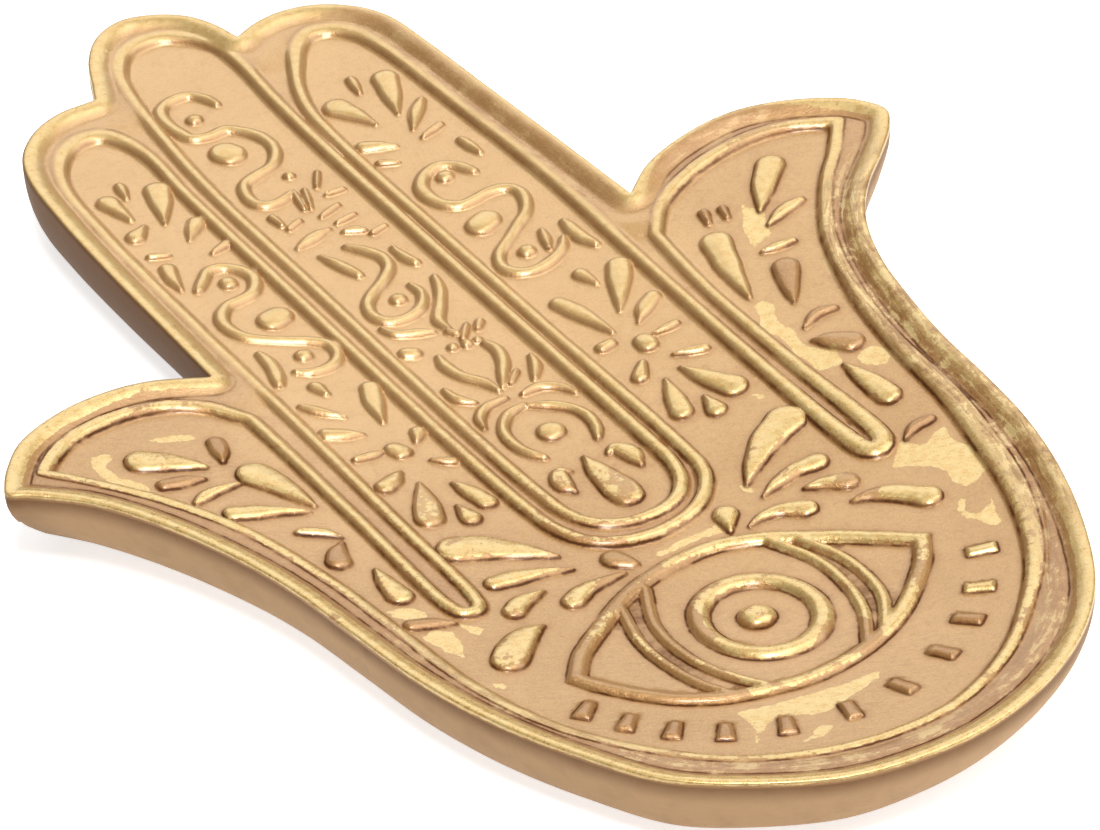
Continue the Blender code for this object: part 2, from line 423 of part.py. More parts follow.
class Sheet:
    """Points and lines in plan that are joined into a sheet of triangles inside the hand's edge."""

    def __init__(self):
        self.points = []
        self.edges = []

    def add(self, point):
        if self.points:
            gaps = np.linalg.norm(np.array(self.points) - point, axis=1)
            nearest = int(gaps.argmin())
            if gaps[nearest] < SNAP:
                return nearest
        self.points.append(np.array(point, float))
        return len(self.points) - 1

    def line(self, points, closed=False):
        ids = [self.add(p) for p in points]
        if closed:
            ids.append(ids[0])
        self.edges += [(a, b) for a, b in zip(ids[:-1], ids[1:]) if a != b]
        return ids

    def triangles(self, border):
        flat = [Vector(p) for p in self.points]
        found, _, faces, origin, _, _ = delaunay_2d_cdt(flat, self.edges, [border], 1, 1e-4)
        return np.array(found, float), [list(f) for f in faces], origin


def offset_runs(line, off, closed, least):
    """Line moved sideways, cut where it comes too near to the line it was moved from."""
    moved = line + normals(line, closed) * off
    good = distance(moved, line, closed) > abs(off) - 0.04
    good &= least(moved)
    runs, run = [], []
    for point, fine in zip(moved, good):
        if fine:
            run.append(point)
        elif run:
            runs.append(np.array(run))
            run = []
    if run:
        runs.append(np.array(run))
    if closed and len(runs) > 1 and good[0] and good[-1]:
        runs[0] = np.vstack([runs.pop(), runs[0]])
    return [thin(r) for r in runs if len(r) > 2], closed and bool(good.all())


def border_points():
    """Points on the hand's edge, thinned stretch by stretch."""
    return np.vstack([thin(s)[:-1] for s in EDGE_STRETCHES])


def within(depth):
    """Test that points lie deeper inside the hand's edge than the given depth."""
    return lambda points: inside(points, EDGE) & (distance(points, EDGE, True) > depth)


def edge_offsets(sheet, depths, room=None):
    """Lines parallel to the hand's edge, with rounded turns about the notches."""
    for depth in depths:
        least = lambda p: within(depth - 0.04)(p) & (room is None or room(p) > depth)
        for k, stretch in enumerate(EDGE_STRETCHES):
            runs, _ = offset_runs(stretch, -depth, False, least)
            for run in runs:
                sheet.line(run)
            if depth > WALL_INSET:
                continue
            turn_from = -normals(stretch, False)[-1]
            turn_to = -normals(EDGE_STRETCHES[(k + 1) % 4], False)[0]
            steps = np.linspace(0, 1, 5)[:, None]
            fan = turn_from * (1 - steps) + turn_to * steps
            fan = stretch[-1] + depth * fan / np.linalg.norm(fan, axis=1)[:, None]
            sheet.line(fan[within(depth - 0.04)(fan)])


def ridge_lines(sheet, line, closed, width):
    """Feet and shoulders of a ridge along both sides of its middle line."""
    shoulder = width / 2 * RIB_TOP_PART
    for off in (-width / 2, -shoulder, shoulder, width / 2):
        runs, whole = offset_runs(line, off, closed, within(RIM_WIDTH + 0.1))
        for run in runs:
            sheet.line(run, whole)


def circle(middle, radii, count):
    """Points round an ellipse."""
    turn = np.arange(count) * 2 * math.pi / count
    return middle + np.stack([np.cos(turn) * radii[0], np.sin(turn) * radii[1]], 1)


def motif_ring(line, depth):
    """Closed outline of a motif at a depth inside its edge, with round ends."""
    along = np.gradient(line[:, :2], axis=0)
    along /= np.linalg.norm(along, axis=1)[:, None]
    across = np.stack([-along[:, 1], along[:, 0]], 1)
    half = (line[:, 2] - depth)[:, None]
    kept = half[:, 0] > 0.1
    if kept.sum() < 2:
        return None
    middle, along, across, half = line[kept, :2], along[kept], across[kept], half[kept]
    caps = []
    for end, turn in ((-1, 1), (0, -1)):
        fan = np.radians((45, 0, -45))[:, None]
        caps.append(middle[end] + half[end] * turn * (np.cos(fan) * along[end] + np.sin(fan) * across[end]))
    left = thin(middle + across * half, MOTIF_TOLERANCE)
    right = thin((middle - across * half)[::-1], MOTIF_TOLERANCE)
    return np.vstack([left, caps[0], right, caps[1]])


def carved_sheet():
    """Plan of the top: the edge, the rim, the ribs, the eye and the tablets."""
    sheet = Sheet()
    border = sheet.line(border_points(), True)[:-1]
    edge_offsets(sheet, [p[0] for p in RIM_PROFILE[1:]])
    ridge_lines(sheet, PALM, True, RIB_WIDTH)
    ridge_lines(sheet, PANEL, True, RIB_WIDTH)
    for line in EYE_LINES:
        sheet.line(thin(line))
    for depth in (SIDE_RUN, BAND_WIDTH - SIDE_RUN, BAND_WIDTH):
        for line in EYE_LINES:
            for run in offset_runs(line, -depth, False, lambda p: distance(p, EYE, True) > depth - 0.04)[0]:
                sheet.line(run)
    inner = lambda p: inside(p, EYE) & (distance(p, EYE, True) > BAND_WIDTH)
    for line in LID_LINES:
        for off in (-0.5, -0.5 * RIB_TOP_PART, 0.5 * RIB_TOP_PART, 0.5):
            for run in offset_runs(line, off * LID_WIDTH, False, inner)[0]:
                sheet.line(run)
    for part in (0, 0.5 - RIB_TOP_PART / 2, 0.5 + RIB_TOP_PART / 2, 1):
        shrink = 1 - part * RING_WIDTH / IRIS_RADII[0]
        sheet.line(circle(IRIS, np.array(IRIS_RADII) * shrink, 36), True)
    for part, count in ((1, 20), (0.85, 20), (0.5, 10)):
        sheet.line(circle(PUPIL, (PUPIL_RADIUS * part, PUPIL_RADIUS * part), count), True)
    sheet.add(PUPIL)
    for x, y, turn in TABLETS:
        for grow in (SIDE_RUN, 0):
            sheet.line(tablet_corners(x, y, turn, grow), True)
    for line in MOTIF_LINES:
        for depth in (0, MOTIF_SIDE_RUN):
            ring = motif_ring(line, depth)
            if ring is not None:
                sheet.line(ring, True)
    return sheet, border


def base_sheet():
    """Plan of the underside: the edge and the lines that round the wall, more where it turns under far."""
    sheet = Sheet()
    border = sheet.line(border_points(), True)[:-1]
    edge_offsets(sheet, [WALL_INSET * part for part in (0.08, 0.3, 0.65, 1, 1.8, 3)], wall_inset)
    return sheet, border


def casting_mesh():
    """Top and underside joined by the narrow upright edge."""
    verts, faces, rims = [], [], []
    for (sheet, border), top in ((carved_sheet(), True), (base_sheet(), False)):
        plan, triangles, origin = sheet.triangles(border)
        if top:
            height = dished_floor(plan) + relief(plan)
        else:
            height = underside(plan)
        first = len(verts)
        verts += [(x * MM, y * MM, z * MM) for (x, y), z in zip(plan, height)]
        faces += [[first + i for i in (f if top else f[::-1])] for f in triangles]
        place_of = {old: new for new, olds in enumerate(origin) for old in olds}
        rims.append([first + place_of[i] for i in border])
    upper, lower = rims
    for k in range(len(upper)):
        n = (k + 1) % len(upper)
        faces.append([upper[k], upper[n], lower[n], lower[k]])
    mesh = bpy.data.meshes.new("tray_casting")
    mesh.from_pydata(verts, [], faces)
    mesh.validate()
    mesh.update()
    mesh.shade_smooth()
    mesh.set_sharp_from_angle(angle=math.radians(40))
    return mesh


def disc_mesh(name, radius, height):
    """Closed upright disc standing on the ground."""
    count = 32
    ring = [(math.cos(2 * math.pi * k / count) * radius * MM, math.sin(2 * math.pi * k / count) * radius * MM)
            for k in range(count)]
    verts = [(x, y, 0) for x, y in ring] + [(x, y, height * MM) for x, y in ring]
    faces = [list(range(count))[::-1], list(range(count, 2 * count))]
    faces += [[k, (k + 1) % count, count + (k + 1) % count, count + k] for k in range(count)]
    mesh = bpy.data.meshes.new(name)
    mesh.from_pydata(verts, [], faces)
    mesh.update()
    mesh.shade_smooth()
    mesh.set_sharp_from_angle(angle=math.radians(40))
    return mesh


def material(name, colour, metallic, roughness):
    """Plain surface material."""
    made = bpy.data.materials.new(name)
    made.use_nodes = True
    shader = made.node_tree.nodes["Principled BSDF"]
    shader.inputs["Base Color"].default_value = (*colour, 1)
    shader.inputs["Metallic"].default_value = metallic
    shader.inputs["Roughness"].default_value = roughness
    return made


def add(name, mesh, surface, spot=(0, 0, 0)):
    """Object in the scene with its own material."""
    made = bpy.data.objects.new(name, mesh)
    made.data.materials.append(surface)
    made.location = spot
    bpy.context.scene.collection.objects.link(made)
    return made


add("tray_casting", casting_mesh(), material("antique_gold", (0.62, 0.40, 0.17), 0.9, 0.38))
for pad, spot in PADS.items():
    x, y = place([spot])[0] * MM
    felt = material(pad + "_felt", (0.05, 0.04, 0.03), 0, 0.95)
    add(pad, disc_mesh(pad, PAD_RADIUS, PAD_THICKNESS), felt, (x, y, 0))
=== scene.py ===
"""Hamsa dish: a gilded cast tray in the shape of an open hand, on six felt pads, in studio light."""
import math

import bpy
import numpy as np
from mathutils import Matrix, Vector
from mathutils.geometry import delaunay_2d_cdt
from mathutils.kdtree import KDTree


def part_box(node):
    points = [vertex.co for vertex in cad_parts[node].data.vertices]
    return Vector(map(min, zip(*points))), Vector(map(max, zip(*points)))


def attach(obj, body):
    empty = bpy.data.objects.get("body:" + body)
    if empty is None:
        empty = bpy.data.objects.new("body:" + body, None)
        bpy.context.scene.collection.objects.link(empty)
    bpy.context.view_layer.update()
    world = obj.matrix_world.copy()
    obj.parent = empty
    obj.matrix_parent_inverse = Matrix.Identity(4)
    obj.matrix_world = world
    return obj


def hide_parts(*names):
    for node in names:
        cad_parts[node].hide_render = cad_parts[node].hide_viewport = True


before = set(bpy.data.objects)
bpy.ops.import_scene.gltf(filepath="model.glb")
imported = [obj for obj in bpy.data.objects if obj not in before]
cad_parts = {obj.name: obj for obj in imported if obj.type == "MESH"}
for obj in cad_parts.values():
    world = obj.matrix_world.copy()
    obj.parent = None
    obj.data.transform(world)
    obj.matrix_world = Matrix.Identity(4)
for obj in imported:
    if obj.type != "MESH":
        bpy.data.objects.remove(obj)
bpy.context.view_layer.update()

MM = 0.001
HAND_LENGTH = 250.0
HAND_WIDTH = 175.4

# Levels in millimetres
BASE_Z = 1.8
FLOOR_Z = 6.3
DISH_DEPTH = 9.0
EDGE_HEIGHT = 1.0
WALL_INSET = 4.3
THUMB_TURN = 18.0
THUMB_TURN_POWER = 1.6
THUMB_TURN_REACH = 8.0
HEEL_TURN = 9.0
HEEL_TURN_REACH = 38.0

# Rim from the outer edge inwards: depth and height over the dished floor
RIM_PROFILE = [
    (0, 1.78), (0.12, 1.92), (0.4, 2.03), (0.8, 2.08), (1.2, 2.06), (1.7, 1.95), (2.3, 1.74), (2.9, 1.47),
    (3.4, 1.22), (3.8, 1.04), (4.1, 0.94), (4.3, 0.93), (4.6, 0.98), (5.0, 1.0)]
RIM_FOOT = 4.15
LEDGE_HEIGHT = 1.0
LEDGE_WIDTH = 7.0
SLOT_HEIGHT = 0.3
RIB_WIDTH = 2.5
RIB_HEIGHT = 1.2
BAND_WIDTH = 3.4
BAND_HEIGHT = 1.0
LID_WIDTH = 2.4
RING_WIDTH = 3.8
RING_HEIGHT = 1.1
PUPIL_RADIUS = 3.2
PUPIL_HEIGHT = 1.7
TABLET_WIDTH = 2.4
TABLET_LENGTH = 5.0
TABLET_HEIGHT = 0.7
MOTIF_HEIGHT = 0.85
CROWN = 0.12
SHOULDER = 1.05
FOOT = 0.2
LEDGE_RUN = 4.2
GROOVE_DEPTH = 0.2
GROOVE_WIDTH = 0.28
TABLET_CORNER = 0.4
GILDED_TABLETS = 2
PUPIL_DENT = 0.35
UNEVENNESS = 0.03

# Widths of the sloping sides
BAND_SIDE = 0.75
LID_SIDE = 0.7
RING_SIDE = 0.95
TABLET_SIDE = 0.6
LEAST_SHOULDER = 0.7

# Crests: how broad they are, their hollow feet, and where the ribs get wider
CREST_POWER = 2.5
RIB_TAIL = 0.42
MOTIF_TAIL = 0.3
TIP_WIDENING = 0.35
TIP_REACH = 9.0
PALM_WIDENING = 0.65

# Mesh: steps along the lines, round small forms, on the plain floor and on the base, the least gap between
# points, the angle of a sharp edge in degrees, and the rows along ribs and lids as shares of their half width
LINE_STEP = 0.74
EYE_STEP = 0.48
SMALL_STEP = 0.42
FILL_STEP = 1.1
CLOSEST = 0.2
NARROWEST = 0.12
RIB_ROWS = (1, 0.86, 0.66, 0.38, 0, 1.13, 1.27, 1.42, 1.75)
LID_ROWS = (1, 0.86, 0.58, 0, 1.2)
BASE_STEP = 3
CELL = 0.5
CREASE = 55

# Rows along the other forms, as distances from their edges or, on the pupil, from its middle
BAND_ROWS = (0.25, 0, -0.14, -0.4, -1.0, -1.7, 1.0 - BAND_WIDTH, 0.4 - BAND_WIDTH, 0.14 - BAND_WIDTH,
             -BAND_WIDTH, -BAND_WIDTH - 0.25)
RING_ROWS = (-0.25, 0, 0.16, 0.4, 0.8, 1.3, 1.9, 2.5, 3.0, 3.4, 3.64, 3.8, 4.05)
PUPIL_ROWS = (3.6, 3.3, 3.12, 2.9, 2.5, 2.0, 1.5, 1.0, 0.5)
TABLET_ROWS = (0.4, FOOT, 0.02, -0.22, -0.6, -1.1)
MOTIF_ROWS = (-0.6, -0.22, 0, 0.18, 0.42, 0.8, 1.3, 2.0, 2.7)
WALL_ROWS = (0.06, 0.2, 0.42, 0.75, 1.2)
BASE_ROWS = (1.8, 2.5, 3.3, 4.3, 5.5, 7, 9)

# Felt pads: radius and height as shares of the room they have, from below
PAD_PROFILE = [
    (0.5, 0), (0.9, 0), (0.97, 0.06), (0.995, 0.22), (1, 0.5), (0.995, 0.78), (0.97, 0.94), (0.9, 1),
    (0.5, 1)]
PAD_SIDES = 72
PAD_CREASE = 50

# How far outside a patch of leaf gold its torn edge is reckoned
LEAF_REACH = 3.0

# Camera: its direction from the dish and its turn in degrees, the drawn point it aims at, distance, lens
CAMERA_AZIMUTH = -31.8
CAMERA_RISE = 35.83
CAMERA_ROLL = 3.65
CAMERA_AIM = (2.437, -6.592)
CAMERA_DISTANCE = 1.4712
CAMERA_LENS = 294.545

# Soft boxes, aimed at the dish: place, width and height in metres, and power in watts
LAMPS = {
    "key": ((0.74, -0.45, 1.23), 1.6, 1.6, 15),
    "top": ((-0.27, -0.47, 1.2), 0.36, 0.36, 7.5),
    "overhead": ((0.0, 0.06, 1.4), 1.0, 1.0, 2.2),
    "back": ((0.68, 1.1, 0.94), 1.3, 1.0, 4.8)}
FLOOR_GLOW = 0.72
WORLD_COLOUR = (1, 0.88, 0.72, 1)
WORLD_STRENGTH = 0.15

# Outer edge of the hand, drawn at full size, clockwise from the right notch; the notches are corners
THUMBS_AND_HEEL = [
    (43.2, 29.2), (49.8, 33.7), (58.3, 36.1), (68.3, 36.3), (76.8, 33.3), (84.7, 27.8), (87.8, 23.9),
    (89.3, 19.6), (86.8, 15.2), (82.2, 10.8), (74.5, 4.3), (69.1, -2.6), (64.8, -12.6), (62.2, -24.2),
    (60.3, -36.5), (59.3, -49.5), (57.6, -63), (54, -76.9), (47.6, -92.4), (39.5, -106), (29.5, -115.5),
    (17.6, -121.9), (4, -125.3), (-8, -125.1), (-19.6, -122.4), (-32.4, -114.6), (-42.4, -105.5),
    (-49.6, -91.5), (-55.3, -76), (-58.8, -60), (-60.4, -44), (-62, -28.8), (-64.9, -16.4), (-70, -2.6),
    (-76.4, 8.5), (-83.2, 15.2), (-86, 17.5), (-84.8, 20.2), (-82, 23.9), (-76.6, 28.9), (-67.4, 32.5),
    (-58.9, 33.5), (-50.5, 32.5), (-40.8, 28.3)]
LEFT_FINGER = [
    (-40.8, 28.3), (-40.1, 45), (-39.4, 62), (-38.1, 80), (-36.2, 93), (-33.4, 99.5), (-27.8, 104.7),
    (-21.8, 106.9), (-14.6, 106.8)]
MIDDLE_FINGER = [
    (-14.6, 106.8), (-12.7, 110.7), (-9.3, 117.4), (-4.3, 122.7), (1.5, 124.5), (7, 122.6), (11.3, 119),
    (13.9, 114), (15.2, 108.2)]
RIGHT_FINGER = [
    (15.2, 108.2), (19.8, 109.7), (25, 109.9), (30.9, 107.9), (36.3, 103), (39.2, 97), (40.3, 86),
    (41.1, 69.7), (42.2, 49.7), (43.2, 29.2)]

# Middle line of the rib round the palm, through both thumbs, the two slots and the outer fingers
PALM_RIB = [
    [(81.6, 23.2), (76.1, 16.6), (71.4, 11.9), (65.6, 4.2), (61.7, -2.7), (57.1, -16.4), (54.6, -29.6),
     (52.9, -48), (50.8, -59.2), (46.6, -75), (39.1, -90.2), (30.9, -99.8), (19, -109.6), (6.2, -115),
     (-6, -115.4), (-17.6, -112.4), (-29.6, -105.7), (-39.8, -94.2), (-46.9, -81.6), (-51.3, -65.5),
     (-53.1, -44.5), (-54.5, -29.6), (-58.4, -11), (-64.6, 2.8), (-70.9, 12.4), (-77.2, 20.6)],
    [(-77.2, 20.6), (-73.3, 23.9), (-67, 27), (-58, 27.9), (-51.3, 26.5), (-45.6, 23), (-40.7, 16.4)],
    [(-40.7, 16.4), (-40.6, 8), (-41.2, -18), (-42, -44), (-41.2, -46.6), (-39.5, -47.4), (-37.8, -46.6),
     (-37, -44), (-36, -20), (-34.9, 10), (-34.3, 45), (-33.2, 74), (-31.5, 89), (-28.5, 95.6),
     (-25, 98.6), (-21.5, 99.6), (-18.3, 98.6), (-16, 95.3), (-14.9, 89), (-15.6, 76), (-16, 40),
     (-16, -28), (-15, -35.5), (-12.6, -40), (-8.5, -43), (-3.5, -44.4), (1.5, -44.3), (6.2, -43),
     (10.2, -40), (12.8, -35.8), (13.6, -29), (13.5, 20), (13.5, 75), (14.3, 84), (16.3, 90.5),
     (19.2, 96), (22.5, 100.6), (26.3, 102.8), (30, 101.5), (32.8, 98), (34.2, 91), (35.2, 70),
     (36.2, 44), (35.6, 16), (34.9, -20), (34.8, -46.5), (35.4, -49.6), (37, -50.8), (38.6, -49.6),
     (39.3, -46.5), (39.2, -20), (39.5, 2), (41, 18.6)],
    [(41, 18.6), (46, 24.2), (52.2, 27.5), (59.8, 29.4), (67.6, 29.6), (74.6, 27.8), (81.6, 23.2)]]

# Middle line of the rib round the long panel of the middle finger
PANEL_RIB = [
    (1, 118.3), (5.5, 117.5), (9.5, 114), (11.8, 109), (12.2, 103), (11.2, 90), (10.6, 75), (10.4, 40),
    (10.4, -24), (9.9, -31.5), (8, -36.3), (4.5, -39.2), (0, -40), (-5, -39.2), (-9, -36.6), (-11.2, -32.4),
    (-12, -25), (-12, 40), (-11.7, 74), (-10.4, 90), (-8, 106.5), (-6.2, 112.6), (-3, 116.8)]

# Where the ribs are broadest at the finger tips
FINGER_TIPS = [(-21.5, 98), (1, 116.5), (26.3, 101)]

# Eye: outer edge of its band from corner to corner, the lid ridges, and the iris
EYE_TOP = [
    (-37.9, -71.2), (-32.6, -64.9), (-24.9, -59.3), (-18.8, -55.4), (-12.6, -52.6), (-6.5, -51.2),
    (-1, -50.8), (3.5, -51.3), (8.2, -53.1), (12.1, -55.4), (16.7, -59.3), (21.3, -63.5), (30.6, -74)]
EYE_BOTTOM = [
    (30.6, -74), (28.1, -78.1), (25.1, -81.6), (16.7, -88.5), (11.2, -91.5), (5.8, -93.4), (-0.3, -94.5),
    (-6.5, -94.7), (-12.6, -93.5), (-18.8, -91.6), (-23.4, -89.3), (-28.8, -85), (-35.7, -75.8),
    (-37.9, -71.2)]
LIDS = [
    [(-18.8, -58.4), (-21.6, -68), (-22, -75), (-21, -83), (-18.5, -89.7)],
    [(-12.5, -55.9), (-17, -65.4), (-18, -73.6), (-16.8, -82), (-12.6, -91.5)],
    [(10, -56), (13.2, -66), (13.2, -74), (11, -82.6), (5.3, -92.1)],
    [(13.9, -59.2), (16.6, -68), (16.8, -75), (15.2, -82.2), (10.4, -89.5)]]
IRIS_CENTRE = (-2.3, -73.4)
IRIS_RADII = (11.4, 12.8)
PUPIL_CENTRE = (-2.7, -73)

# Tablets below the eye: middle of each one and the way it points, in degrees
TABLETS = [
    (-39.9, -79.8, 38), (-36.4, -86.4, 41), (-31.9, -92.4, 46), (-25.7, -97.6, 56), (-17.2, -102, 63),
    (-7.1, -104.8, 76), (2.9, -104.7, 106), (13.1, -101.4, 115), (21.3, -96.8, 126), (27.6, -91.2, 143),
    (33.7, -83.4, 153)]

# Dish: deepest point and how far the bottom spreads sideways, to the fingers and to the heel
DISH_MIDDLE = (0, -54.5)
DISH_SIDE = 60.8
DISH_FINGERS = 125.0
DISH_HEEL = 70.0

# Places where the wall turns under most
THUMB_TIPS = ((-86, 17.5), (88.6, 20.4))
HEEL_TURN_MIDDLE = (26, -117)

